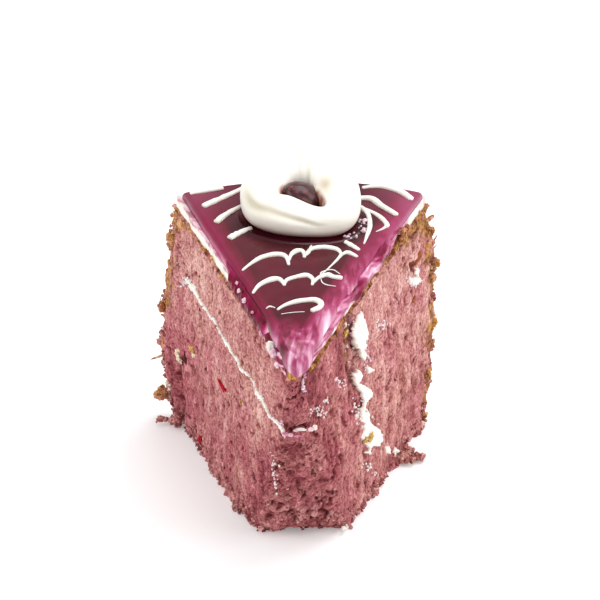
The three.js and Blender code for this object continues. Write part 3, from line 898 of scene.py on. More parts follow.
def shreds():
    ball, faces = BALLS[3]
    parts = []
    for number, (side, first, last, half) in enumerate(SHREDS):
        start, end = (on_face(side, *place) for place in (first, last))
        along = (end - start) / 2
        across = np.cross(along, [0, 0, 1.0])
        across = across / np.linalg.norm(across) * half
        upright = np.cross(across, along)
        upright = upright / np.linalg.norm(upright) * half
        rough = 1 + 0.3 * noise(4 * ball[:, 0] + number, ball[:, 1], ball[:, 2])
        bend = 0.3 * half * noise(2 * ball[:, 0], number, 1.0)
        places = (start + end) / 2 + ball[:, :1] * along + (rough * ball[:, 1] + bend)[:, None] * across
        places = places + (rough * ball[:, 2])[:, None] * upright
        light = unit(0.5 + 0.4 * noise(3 * ball[:, 0], ball[:, 1], number))
        parts.append((places, faces, mix(crumb_tan(light), crust_brown(light), np.full(light.shape, 0.45))))
    return parts


lower = wall(table, filling_bottom)
add_piece("lower_crumb", lower, SPONGE, "lower_sponge")
scattered = joined(torn_bits() + loose_crumbs() + accents() + shreds())
add_piece("loose_crumbs", scattered, SPONGE, "lower_sponge")
upper = wall(filling_top, sponge_top)
add_piece("upper_crumb", upper, SPONGE, "upper_sponge")


# ---- The filling and the cream on the cut faces ----
def band_point(share, z):
    """The point between the layers, where a gap has opened."""
    place, colour = point_vertices(share, z)
    gap = smoothstep(share, 0.2, 0.4) * falling(share, 0.62, 0.8)
    place[..., 1] += 1.8 * gap
    # Painted shade in the gap.
    return place, colour * (1 - 0.6 * gap)[..., None]


def line_height(along, z):
    """The cream that shows between the layers on the left, thick in places and gone in others."""
    middle = filling_bottom(along) + 1.1 + 0.4 * noise(along / 4, 1, 83)
    wide = 0.78 + 0.45 * noise(along / 3.1, 2, 84) - 2.0 * smoothstep(along, 90, 94)
    for place, length, more in ((85, 4, 0.9), (52, 5, 0.3), (26, 6, 0.25)):
        wide = wide + more * bump(along, place, length)
    ragged = noises(along, z, (0.6, 0.9, 0.8, 85), (0.6, 0.42, 0.42, 95))
    inside = 1 - np.abs(z - middle) / np.maximum(wide, 0.2) + ragged
    inside = np.where(wide < 0.08, -1, inside)
    return 0.8 * smoothstep(inside, 0, 0.6) - 0.3 + 0.2 * noise(along / 0.6, z / 0.6, 86)


def plain_cream(along, z, above):
    """Cream on a cut face, stained by the crumb where it is thin."""
    light = unit(0.6 + 0.4 * above + 0.2 * noise(along / 1.5, z / 1.5, 87))
    stained = falling(above, -0.1, 0.3)
    return mix(cream_white(light), crumb_tan(light), 0.75 * stained)


def on_left(along, z):
    return face_form(LEFT, along, z)


def filling_line():
    alongs = np.arange(10, 102, CREAM_CELL)
    heights = np.arange(-2.0, 4.4, CREAM_CELL)
    return skin_patch(LEFT, alongs, heights, line_height, plain_cream, on_left, filling_bottom)


# The strip of cream smeared down the right-hand face, from the top down: level, near edge and far edge along
# the face. Where the near edge is past the far one the strip is broken.
SMEAR_STRIP = np.array([
    (71.6, 47.4, 47.4),
    (68.2, 46.0, 49.4),
    (65.6, 44.2, 51.6),
    (63.3, 43.4, 52.2),
    (60.2, 44.0, 52.0),
    (57.3, 45.0, 51.4),
    (54.8, 46.8, 51.6),
    (53.0, 50.0, 49.0),
    (51.6, 46.2, 43.5),
    (48.4, 40.8, 46.8),
    (45.6, 42.4, 46.0),
    (44.2, 44.2, 50.4),
    (43.0, 45.5, 56.4),
    (41.4, 46.0, 57.0),
    (39.6, 46.5, 55.8),
    (38.6, 46.4, 51.4),
    (37.5, 46.0, 49.4),
    (35.2, 43.6, 50.8),
    (32.5, 44.6, 51.4),
    (30.8, 47.4, 55.0),
    (28.2, 46.6, 60.0),
    (26.0, 45.6, 62.0),
    (23.6, 47.4, 60.5),
    (21.8, 50.4, 56.0),
    (20.2, 48.2, 54.4),
    (18.6, 52.0, 50.0),
])
# Patches beside it: along the face, height, half width along it, half height, and how ragged its edge is.
SMEAR_PATCHES = [
    (53.8, 46.6, 4.4, 1.5, 0.6),
    (66.9, 9.4, 2.3, 1.9, 0.5),
    (55.2, 7.6, 1.5, 1.0, 0.5),
    (72.4, 5.2, 2.2, 1.5, 0.5),
    (89.8, 58.8, 4.8, 1.7, 0.9),
    (92.0, 61.0, 1.7, 2.0, 0.8),
]


def smear_height(along, z):
    level = z + FACE_SLANT * (along - SMEAR_AT)
    rising = SMEAR_STRIP[::-1].T
    wander = along + 0.7 * noise(along / 1.3, level / 1.5, 88)
    near = np.interp(level, rising[0], rising[1])
    far = np.interp(level, rising[0], rising[2])
    speckled = bump(level, 35, 3.6)
    fine = noise(along / 0.8, level / 0.75, 89) + 0.6 * noise(along / 0.42, level / 0.4, 90)
    body = (far - near) / 2 - np.abs(wander - (near + far) / 2)
    body = np.where((level > 18) & (level < 72), body, -2)
    inside = body - 0.5 * speckled + (0.5 + 1.3 * speckled) * fine
    for middle, height, half_along, half_height, ragged in SMEAR_PATCHES:
        across = (wander - middle) / half_along
        upright = (z + FACE_SLANT * (wander - middle) - height) / half_height
        reach = (1 - np.hypot(across, upright)) * half_height
        inside = np.maximum(inside, reach + ragged * fine)
    swell = noises(along, level, (0.35, 2.2, 3.0, 92), (0.3, 0.7, 0.8, 93))
    thick = (0.75 + swell) * smoothstep(inside, 0.0, 0.7) - 0.25
    return thick - step_back(RIGHT, along, z) * falling(body, -0.7, 0.3)


def smear_colour(along, z, above):
    """Cream, with painted shadow in the hollow where it stands off the face."""
    colour = plain_cream(along, z, np.maximum(above, -0.3))
    return mix(colour, SMEAR_SHADOW, 0.85 * falling(above, -1.4, -0.3))


def smear_base(along, z):
    """The face as if the knife hadn't started again, so the cream fills the step."""
    return face_form(RIGHT, along, z) + step_back(RIGHT, along, z)


def smear():
    """The strip with the patches beside it, and the scraps near the rim."""
    strip = (34, 76), (2, 73)
    rear = (83, 98), (54, 65)
    grids = [[np.arange(*reach, CREAM_CELL) for reach in part] for part in (strip, rear)]
    return [skin_patch(RIGHT, *grid, smear_height, smear_colour, smear_base) for grid in grids]


# Flecks and crumbs of cream: side, along the face, height, half length, half height, how many, their size,
# and the depth of glaze on them.
FLECKS = [
    (RIGHT, 44.6, 37.2, 4.2, 4.6, 34, 0.42, 0.02),
    (RIGHT, 53.2, 53.0, 2.6, 4.2, 22, 0.32, 0.12),
    (RIGHT, 34.6, 53.0, 3.4, 1.7, 18, 0.38, 0.06),
    (RIGHT, 65.6, 56.4, 6.0, 1.5, 24, 0.34, 0.04),
    (RIGHT, 18.2, 53.0, 5.6, 2.0, 40, 0.3, 0.06),
    (RIGHT, 24.6, 52.8, 2.4, 0.8, 14, 0.36, 0.02),
    (RIGHT, 51.6, 25.0, 8.4, 5.0, 34, 0.42, 0.0),
    (RIGHT, 45.4, 62.0, 4.6, 6.6, 22, 0.36, 0.0),
    (RIGHT, 90.0, 58.6, 4.6, 3.2, 20, 0.36, 0.1),
    (RIGHT, 48.4, 14.6, 2.6, 1.8, 10, 0.4, 0.0),
    (RIGHT, 33.0, 1.6, 1.6, 0.7, 6, 0.55, 0.0),
    (RIGHT, 9.8, 70.4, 1.1, 1.0, 12, 0.42, 0.34),
    (RIGHT, 8.6, 68.0, 0.7, 1.5, 16, 0.42, 0.12),
    (RIGHT, 9.6, 65.6, 0.6, 0.9, 6, 0.3, 0.2),
    (LEFT, 18.2, 31.0, 2.6, 6.0, 34, 0.3, 0.06),
    (LEFT, 103.0, 12.0, 1.4, 1.6, 8, 0.5, 0.02),
    (LEFT, 92.4, 57.6, 2.0, 1.6, 16, 0.4, 0.04),
    (LEFT, 12.6, 52.4, 1.3, 1.0, 12, 0.42, 0.2),
]


def lying_flecks(draw):
    lumps = []
    for side, middle, height, half_length, half_height, count, size, depth in FLECKS:
        for _ in range(count):
            away = draw.normal(size=2) * 0.55
            along = middle + half_length * away[0]
            z = max(0.3, height + half_height * away[1] - FACE_SLANT * half_length * away[0])
            out = surface_out(side, along, z) + 0.12
            half = size * draw.uniform(0.5, 1.3, 3)
            tone = gel_tone(depth + draw.uniform(-0.05, 0.08))
            lumps.append(tumbled(draw, on_face(side, along, out, z), half, tone, 2, 0.5))
    return lumps


def gel_tone(depth):
    """Cream with glaze on it, or plain where there is none."""

    def colour(light):
        stained = gel(unit(depth + 0.4 * (0.5 - light)))
        return mix(cream_white(light), stained, np.full(light.shape, 1.0 if depth > 0.08 else 0.2))

    return colour


# Scraps of cream in the gap at the point: middle, half sizes and depth of glaze.
POINT_SCRAPS = [
    ((0.9, -41.0, 52.3), (1.6, 0.6, 0.32), 0.02),
    ((-0.5, -41.1, 52.0), (0.8, 0.5, 0.25), 0.1),
    ((3.9, -40.7, 52.2), (0.8, 0.6, 0.6), 0.14),
    ((5.0, -40.2, 52.5), (0.7, 0.5, 0.8), 0.04),
    ((-3.9, -40.8, 50.6), (0.9, 0.6, 0.5), 0.3),
    ((-2.3, -41.3, 50.5), (0.8, 0.6, 0.4), 0.2),
    ((0.0, -41.5, 50.3), (0.9, 0.5, 0.3), 0.34),
]


def point_scraps():
    return [
        lump(np.array(place), half, 0.0, 5 * number, gel_tone(depth), 3, 0.5)
        for number, (place, half, depth) in enumerate(POINT_SCRAPS)
    ]


band = wall(filling_bottom, filling_top, point=band_point, fine=0.9)
add_piece("filling_crumb", band, SPONGE, "filling")
scraps = [filling_line(), *smear(), *lying_flecks(np.random.RandomState(31)), *point_scraps()]
add_piece("filling_cream", joined(scraps), CREAM, "filling")


# ---- The coat of cream ----
def coat_start(z):
    return TIP_RUN + 0.5 + (z - sponge_top(TIP_RUN) - 0.3) * 1.1


def coat_colour(side, along, z, light):
    """White cream, smeared with glaze at the front of both faces and most of the way along the right."""
    white = cream_white(light)
    streak = noise(along / 3.2 + z / 2.5, z / 1.1, 94) + 0.5 * noise(along / 1.1, z / 0.9, 95)
    below = z - sponge_top(along)
    if side == LEFT:
        front = falling(along, 24, 34)
        film = smoothstep(below + 0.8 * streak, 2.2, 3.4) * smoothstep(along, 40, 56)
        share = np.maximum(0.8 * front, 0.8 * film)
        return mix(white, gel(np.clip(0.3 + 0.3 * streak, 0.1, 1)), share)
    depth = np.clip(0.3 + 0.35 * streak + 0.2 * smoothstep(below, 1.5, 3.6), 0, 0.8)
    rear = smoothstep(along, 48, 58)
    depth = lerp(depth, 0.34 + 0.2 * streak, rear)
    bare = smoothstep(along + 2 * streak, 84, 89) * falling(along, 99, 101)
    return mix(gel(unit(depth)), white, bare)


def coat_face(side, share, z):
    along = lerp(coat_start(z), CAKE_RADIUS + 1, share)
    out = 0.3 + 0.35 * noise(along / 7, 3.0 * side, 1.0) + 0.3 * layered(along / 3, z / 2, 96.0 + side)
    light = unit(0.55 + 0.3 * noise(along / 2, z / 1.2, 97))
    return on_face(side, along, out, z), coat_colour(side, along, z, light)


def coat_rim(share, z):
    angle = lerp(HALF_ANGLE, -HALF_ANGLE, share)
    radius = CAKE_RADIUS + 1.4 + 0.5 * layered(40 * angle, z / 2, 98.0)
    light = unit(0.55 + 0.3 * noise(30 * angle, z / 1.2, 99))
    return polar(radius, angle, z), cream_white(light)


def coat_point(share, z):
    right = coat_start(z)
    place = polar(right, lerp(-HALF_ANGLE, HALF_ANGLE, share), z)
    return place, gel(np.full(z.shape, 0.3))


def lip_reach(side, along):
    """How far the crust stands up over the coat of cream."""
    if side == LEFT:
        reach = 0.3 * smoothstep(along, 48, 60)
    else:
        lower = smoothstep(along, 44, 52) * falling(along, 66, 72)
        reach = 0.2 + 3.6 * bump(along, 81, 7) - 0.8 * lower
    return reach * (1 + 0.4 * noise(along / 2.7, side, 43)) + 0.9 * noise(along / 1.9, side, 44) - 0.2


def lip(side):
    """The ragged upper edge of the crust, over the lowest part of the coat."""

    def height(along, z):
        inside = sponge_top(along) + lip_reach(side, along) - z + 0.5 * noise(along / 0.7, z / 0.7, 45)
        return 0.9 * smoothstep(inside, 0, 0.9) - 0.3 + 0.15 * noise(along / 0.5, z / 0.5, 46)

    def colour(along, z, above):
        light = 0.34 if side == LEFT else 0.2
        light = light + noises(along, z, (0.3, 0.8, 0.8, 47), (0.2, 2.5, 2.5, 48))
        light = unit(light)
        bare = smoothstep(noise(along / 1.6, z / 1.4, 58 + side), -0.35, 0.2)
        return mix(crust_brown(light), crumb_tan(light), (0.85 if side == LEFT else 0.45) * bare)

    alongs = np.arange(8, 104, LIP_CELL)
    heights = np.arange(-1.2, 6.8, LIP_CELL)
    return skin_patch(side, alongs, heights, height, colour, plain_base(0.35), sponge_top)


add_piece("crust_lips", joined([lip(LEFT), lip(RIGHT)]), SPONGE, "upper_sponge")
coat = wall(sponge_top, glaze_bottom, coat_face, coat_rim, coat_point)
add_piece("cream_layer", coat, CREAM, "cream_coat")


# ---- The glaze ----
def ring_outer(around):
    """How far the foot of the piped ring reaches, at an angle round it from the front."""
    return RING_REACH + 3.3 * bump(around, 0.8, 0.5) + bump(around, -0.95, 0.4)


def edge_distances(x, y):
    """How far a place lies inside the left and the right edge, and from the cake's centre line."""
    radius = np.hypot(x, y - CENTRE_Y)
    angle = np.arctan2(x, y - CENTRE_Y)
    return radius * np.sin(HALF_ANGLE + angle), radius * np.sin(HALF_ANGLE - angle), radius


SWIRL_RADIUS = 17.0  # from the cake's centre line to where the marbling near the point curls round


def glaze_depth(x, y):
    """How deep the coloured gel lies on the white cream."""
    left, right, radius = edge_distances(x, y)
    swirl = layered(x / 9, y / 9, 50.0)
    streak = layered((x + 1.5 * swirl) / 1.3, (y + 3 * swirl) / 7, 51.0)
    cloud = layered(x / 4, y / 5, 49.0)
    depth = 0.93 + 0.12 * swirl

    band = np.interp(radius, [10, 27, 50, 75, 97], [2.2, 3.2, 5.0, 7.5, 12.0])
    inside = left / band
    from_left = np.interp(inside, [-0.2, 0, 0.08, 0.4, 0.8, 1.3], [0.1, 0.44, 0.66, 0.74, 0.83, 1.2])
    depth = np.minimum(depth, from_left + 0.07 * cloud)
    dark_edge = falling(radius, 50, 57) * falling(left, -0.4, 1.0)
    depth = lerp(depth, 0.85, dark_edge)

    edge = np.interp(radius, [12, 34, 50, 60], [0.1, 0.26, 0.45, 0.52])
    wide = np.interp(radius, [8, 20, 34, 50, 62, 75, 97], [5, 6, 6.6, 7, 8, 7, 10])
    inside = right / wide
    steps = np.interp(inside, [-0.1, 0.2, 0.55, 0.85, 1.15], [0, 0.34, 0.62, 0.8, 1.6])
    from_right = edge + (0.95 - edge) * steps
    fading = falling(inside, 0.3, 1.0)
    from_right = from_right + (0.42 * streak * falling(radius, 52, 62) + 0.16 * cloud) * fading
    depth = np.minimum(depth, from_right)

    away = np.hypot(x, y - CENTRE_Y - SWIRL_RADIUS)
    turn = np.arctan2(x, y - CENTRE_Y - SWIRL_RADIUS)
    arcs = layered(away / 1.3 + 0.9 * turn + 0.7 * cloud, 1.2 * turn, 57.0)
    marble = falling(radius + 2.5 * swirl, 13, 23)
    dragged = layered((x - 0.2 * y) / 1.4, y / 6, 58.0)
    swirled = 0.57 + 0.5 * dragged + 0.25 * streak + 0.32 * arcs + 0.15 * cloud
    depth = lerp(depth, swirled, marble)
    return unit(depth)


def glaze_colour(x, y):
    left, right, radius = edge_distances(x, y)
    depth = glaze_depth(x, y)
    wide = np.interp(radius, [8, 20, 34, 50, 62, 75], [5, 6, 6.6, 7, 8, 7])
    dragged = np.maximum(falling(radius, 14, 24), falling(right / wide, 0.5, 1.1))
    colour = mix(gel(depth), marbled(depth), dragged)
    corner = smoothstep(radius, 76, 96) * falling(np.minimum(left, right), 5, 20)
    colour = mix(colour, GLAZE_CORNER, 0.6 * corner)
    from_ring = np.hypot(x, y - RING_CENTRE_Y) - ring_outer(np.arctan2(x, RING_CENTRE_Y - y))
    shaded = bump(from_ring, 1.0, 3.8) * smoothstep(RING_CENTRE_Y - y, 0, 8)
    return mix(colour, RING_SHADOW, 0.7 * shaded)


def glaze_place(length, width, height):
    """Length runs from the point to the rim, width from the right edge to the left."""
    edge = 1.5 * height**3
    across = 1 - 2 * width
    front = POINT_LEFT - 2.8 + 3.4 * np.abs(across) ** 2.4 + edge
    radius = lerp(front, CAKE_RADIUS - 1 - edge, length)
    drawn_back = np.where(across < 0, 0.9 * smoothstep(radius, 62, 88), 0)
    overhang = 0.1 + 1.7 * np.exp(-radius / 14) - drawn_back
    overhang = overhang * lerp(0.35 + 0.65 * height, 1, smoothstep(radius, 4, 12))
    wave = 0.25 * noise(radius / 8, 5 * np.sign(across), 2.0)
    run = (CREAM_COAT - 0.5) * falling(radius, TIP_RUN - 2, TIP_RUN + 1)
    level = lerp(glaze_bottom(radius) - run, glaze_top(radius), height)
    sag = 1.5 * falling(radius, 2.5, 11) * height
    place = polar(radius, across * HALF_ANGLE, level - sag)
    place[..., 0] += (overhang + wave - edge) * across
    return place


def glaze_slab():
    """Loops round the slab from the point to the rim, each up one side, over the top and back below."""
    upright = np.linspace(0, 1, SLAB_EDGE)
    level = np.linspace(0, 1, SLAB_WIDTHS)
    below = np.linspace(1, 0, SLAB_UNDERSIDE)
    width = np.concatenate([0 * upright, level, 0 * upright + 1, below])
    height = np.concatenate([upright, 0 * level + 1, upright[::-1], 0 * below])
    along = np.linspace(0, 1, SLAB_LENGTHS) ** 1.15
    length = np.concatenate([np.zeros(SLAB_CLOSING), along, np.ones(SLAB_CLOSING)])
    closing = np.linspace(0, 1, SLAB_CLOSING + 1)[:-1]
    squeeze = np.concatenate([closing, np.ones(SLAB_LENGTHS), closing[::-1]])
    lengths = np.repeat(length[:, None], len(width), 1)
    heights = 0.5 + (height[None] - 0.5) * squeeze[:, None]
    widths = np.repeat(width[None], len(length), 0)
    places = glaze_place(lengths, widths, heights)
    x, y = places[..., 0], places[..., 1]
    near_point = falling(np.hypot(x, y - CENTRE_Y), 12, 26)
    ripple = 0.12 * layered(x / 7, y / 7, 52.0, 2) + 0.3 * near_point * noise(x / 2.6, y / 3.4, 53)
    from_ring = np.hypot(x, y - RING_CENTRE_Y) - ring_outer(np.arctan2(x, RING_CENTRE_Y - y)) - 1.2
    ripple = ripple + 0.35 * bump(from_ring, 0, 0.7) * smoothstep(RING_CENTRE_Y - y, -2, 6)
    places[..., 2] += ripple * smoothstep(heights, 0.5, 1)
    colours = glaze_colour(x, y)
    return closed_tube(places[:, ::-1], colours[:, ::-1])


def run_profile(z, top, lowest):
    """Round at its lower edge and thinning to nothing at the slab's upper edge."""
    up = unit((z - lowest) / np.maximum(top - lowest, 0.5))
    rounded = np.sqrt(unit(1 - (1 - np.minimum(up / 0.4, 1)) ** 2))
    return rounded * falling(up, 0.45, 1.0)


def left_run_height(along, z):
    """Glaze that has run down over the left-hand edge in drips of different lengths."""
    drop = noise(along / 3.4, 4.0, 8.0) + 0.35 * noise(along / 1.4, 4.0, 9.0)
    lowest = sponge_top(along) + np.interp(along, [8, 18, 22, 27, 50, 62], [-3.2, -3.6, -3, -1, 0.4, 5.5])
    lowest = lowest + 0.9 * drop
    ends = smoothstep(along, 7, 10) * falling(along, 48, 60)
    thick = lerp(0.85, 1.3, smoothstep(along, 20, 27)) + 0.3 * noise(along / 3.0, z / 3.0, 54)
    thick = thick + 0.12 * noise(along / 1.1, z / 1.3, 65)
    return 1.45 * thick * ends * run_profile(z, glaze_top(along) - 0.5, lowest) - 0.35


def left_run_colour(along, z, above):
    depth = 0.76 - 0.12 * smoothstep(along, 42, 58) + 0.13 * noise(along / 2.6, z / 1.6, 55)
    streaks = noise(along / 3.2, (z + 0.4 * along) / 0.9, 59)
    pale = falling(along, 20, 27) * smoothstep(streaks, 0.0, 0.4)
    return gel(unit(depth - 0.55 * pale))


def right_run_height(along, z):
    """Marbled glaze and cream dragged over the right-hand edge."""
    uneven = 0.6 * noise(along / 3.4, 5.0, 8.0) + 0.35 * noise(along / 1.2, 5.0, 9.0)
    lowest = sponge_top(along) + 0.5 + uneven - 3.0 * bump(along, 45, 1.5) - 1.2 * bump(along, 61, 4)
    ends = smoothstep(along, 6, 9) * falling(along, 68, 74)
    thick = 0.75 + 0.25 * noise(along / 4.0, z / 1.5, 66)
    thick = thick + 0.5 * bump(along, 63, 4) + 0.35 * bump(along, 48, 4)
    return 1.3 * thick * ends * run_profile(z, glaze_top(along) - 0.5, lowest) - 0.35


def right_run_colour(along, z, above):
    slant = along + 0.9 * (z - FACE_HEIGHT)
    depth = np.interp(
        slant,
        [8, 36, 44, 49, 53, 57, 61, 65, 69, 76],
        [0.4, 0.45, 0.8, 0.6, 0.4, 0.2, 0.6, 0.85, 0.6, 0.4],
    )
    across = z + 0.2 * along + 0.8 * noise(along / 4, z / 3, 75)
    streak = noise(along / 5.5, across / 1.0, 67) + 0.6 * noise(along / 2.5, across / 0.45, 68)
    return marbled(unit(depth + 0.26 * streak))


def glaze_run(side, height, colour, last):
    alongs = np.arange(5, last, RUN_CELLS[0])
    heights = np.arange(-12, 0.4, RUN_CELLS[1])
    return skin_patch(side, alongs, heights, height, colour, plain_base(0.2), glaze_top)


# Beads in and below the glaze: side, along the face, out from it, height, half size, depth of gel.
BEADS = [
    (LEFT, 41.7, 1.7, 82.0, 0.55, 0.1),
    (LEFT, 37.4, 1.7, 81.0, 0.6, 0.12),
    (LEFT, 43.8, 1.5, 83.5, 0.4, 0.2),
    (LEFT, 31.0, 1.5, 80.6, 0.4, 0.25),
    (LEFT, 16.0, 1.6, 77.6, 1.3, 0.08),
    (LEFT, 14.2, 1.4, 76.4, 1.1, 0.2),
    (LEFT, 19.5, 1.2, 75.6, 0.9, 0.3),
    (LEFT, 12.0, 1.2, 73.6, 0.8, 0.1),
    (LEFT, 24.6, 1.3, 77.2, 0.7, 0.25),
]


def beads():
    lumps = []
    for number, (side, along, out, z, half, depth) in enumerate(BEADS):
        shape = (half, half, 1.3 * half)
        centre = on_face(side, along, out, z)
        lumps.append(lump(centre, shape, number, 7 * number, gel_tone(depth), 3, 0.45))
    return joined(lumps)


runs = [
    glaze_run(LEFT, left_run_height, left_run_colour, 63),
    glaze_run(RIGHT, right_run_height, right_run_colour, 76),
    beads(),
]
add_piece("glaze_gel", glaze_slab(), GLAZE, "glaze")
add_piece("glaze_drips", joined(runs), DRIP, "glaze")

# ---- The lines of white icing ----
# Strokes of the nozzle and of the pick that feathered them. Each has its half width at the start, in the
# middle and at the end, and the places it passes through, as degrees from the middle line and distance
# from the cake's centre line.
ICING_STROKES = [
    ((0.6, 0.9, 0.7), [(-21.1, 95.4), (-18.6, 95.4), (-14.5, 95.6)]),
    ((1.1, 1.0, 0.8), [(-20.2, 86.7), (-17.3, 88.6), (-13.9, 91.3), (-8.5, 96.4)]),
    ((1.1, 1.0, 0.8), [(-19.5, 76.5), (-16.4, 80.1), (-11.5, 84.6)]),
    ((1.1, 1.0, 0.7), [(-18.6, 66.5), (-15.8, 68.5), (-11.8, 70.8)]),
    (
        (0.35, 1.0, 0.5),
        [(-20.3, 48.3), (-15.6, 51.6), (-12.2, 53.7), (-8.5, 54.7), (-5.6, 54.5), (-4.1, 53), (-3.4, 48.6)],
    ),
    ((0.4, 0.95, 0.4), [(-3.5, 50.5), (-2.4, 54.3), (-0.6, 56.3), (1.2, 56), (1.9, 52.6)]),
    ((0.35, 0.7, 0.25), [(1.4, 52.9), (2.8, 55.6), (3.6, 59.6)]),
    ((0.5, 1.0, 0.5), [(1.6, 53.6), (3.6, 57.3), (6.2, 58.6), (8.7, 58.8), (11.6, 58), (13.3, 55.6)]),
    ((0.6, 0.3, 0.12), [(13.4, 56.4), (12.7, 53.2), (11.8, 50.3), (9.8, 45.5), (7, 41.5)]),
    ((0.5, 0.85, 0.5), [(13.2, 55.4), (14.4, 57), (16, 56.8), (18.4, 55.6)]),
    ((0.35, 1.0, 0.5), [(-21.8, 35.7), (-16.6, 39.4), (-10.8, 41.3), (-7.6, 40.9), (-5.9, 37.6)]),
    ((0.4, 0.95, 0.4), [(-6, 38.4), (-4.6, 40.6), (0.6, 42.4), (3.8, 42.8), (6.1, 40.8), (6.2, 37.8)]),
    ((0.4, 0.9, 0.8), [(6.3, 38.8), (8, 41.8), (11.2, 43.8), (14, 43.2), (17.6, 43.2)]),
    ((0.12, 0.2, 0.12), [(9.3, 42.4), (8.6, 45), (12.2, 47), (15.9, 45.2)]),
    ((0.12, 0.22, 0.12), [(8.8, 42.4), (10.4, 39.6), (13.2, 38.6), (16.8, 38.6)]),
    ((0.15, 0.3, 0.15), [(-19.8, 27.1), (-17, 27.8), (-14, 26.8)]),
    (
        (0.4, 1.0, 0.9),
        [(-13.4, 25.6), (-9, 27.2), (-3, 28.7), (4, 29.8)]
        + [(10, 30.2), (13.6, 28.8), (13.4, 26.6), (9, 24.6)],
    ),
    ((0.1, 0.16, 0.1), [(-12, 23.4), (-4, 23.8), (5, 24.2)]),
    ((0.6, 1.1, 1.0), [(11.6, 94.6), (14.8, 96.6), (18.8, 95.4), (22, 92.2)]),
    ((0.9, 1.15, 0.8), [(10.6, 87.6), (14.1, 88.8), (17.2, 85.4), (21.4, 81.8)]),
    ((0.5, 0.85, 0.75), [(13.6, 83), (17.5, 79.8), (20.4, 76), (20.8, 73.8)]),
    ((0.6, 0.35, 0.15), [(20.7, 74.4), (20.1, 72.6), (19.1, 70.8)]),
    ((0.8, 0.85, 0.25), [(12.8, 83.7), (15.2, 79.6), (16.9, 73.5), (17.6, 67.5), (18, 63)]),
    ((0.7, 0.8, 0.5), [(12.7, 62.9), (15.1, 61.2), (17.8, 59.4)]),
]


def curve(points, count):
    """A smooth line through the points."""
    points = np.array(points, float)
    ends = np.concatenate([[2 * points[0] - points[1]], points, [2 * points[-1] - points[-2]]])
    at = np.linspace(0, len(points) - 1, count)
    n = np.minimum(at.astype(int), len(points) - 2)
    t = (at - n)[:, None]
    p0, p1, p2, p3 = (ends[n + k] for k in range(4))
    bend = (2 * p0 - 5 * p1 + 4 * p2 - p3) * t**2 + (3 * p1 - p0 - 3 * p2 + p3) * t**3
    return 0.5 * (2 * p1 + (p2 - p0) * t + bend)


def tube(line, half, flatten):
    """A round rope along a line, with a half thickness at each point of it."""
    along = np.gradient(line, axis=0)
    along = along / np.linalg.norm(along, axis=1)[:, None]
    across = np.cross(along, [0, 0, 1])
    across = across / np.linalg.norm(across, axis=1)[:, None]
    upright = np.cross(across, along)
    turn = np.linspace(0, 2 * math.pi, ROPE_SIDES + 1)[:-1][None, :, None]
    away = np.cos(turn) * across[:, None] + flatten * np.sin(turn) * upright[:, None]
    return line[:, None] + half[:, None, None] * away


def icing_stroke(number, halves, points):
    line = curve(points, 24 * len(points))
    share = np.linspace(0, 1, len(line))
    half = np.interp(share, [0, 0.5, 1], halves) * (1 + 0.1 * noise(9 * share, number, 56))
    rounded = np.sqrt(np.clip(1 - (1 - np.minimum(share, 1 - share) / 0.03).clip(0) ** 2, 0.01, 1))
    radius = line[:, 1]
    places = polar(radius, np.radians(line[:, 0]), glaze_top(radius) + ICING_LIFT)
    ring = tube(places, half * rounded, ICING_FLATNESS)
    light = unit(0.75 + 0.2 * noise(ring[..., 0], ring[..., 1], ring[..., 2]))
    return closed_tube(ring, cream_white(light))


icing = joined([icing_stroke(n, *stroke) for n, stroke in enumerate(ICING_STROKES)])
add_piece("icing_lines", icing, CREAM, "glaze")


# ---- The ring of cream and its berry ----
def soft_square(v):
    return np.sign(v) * np.abs(v) ** 0.8


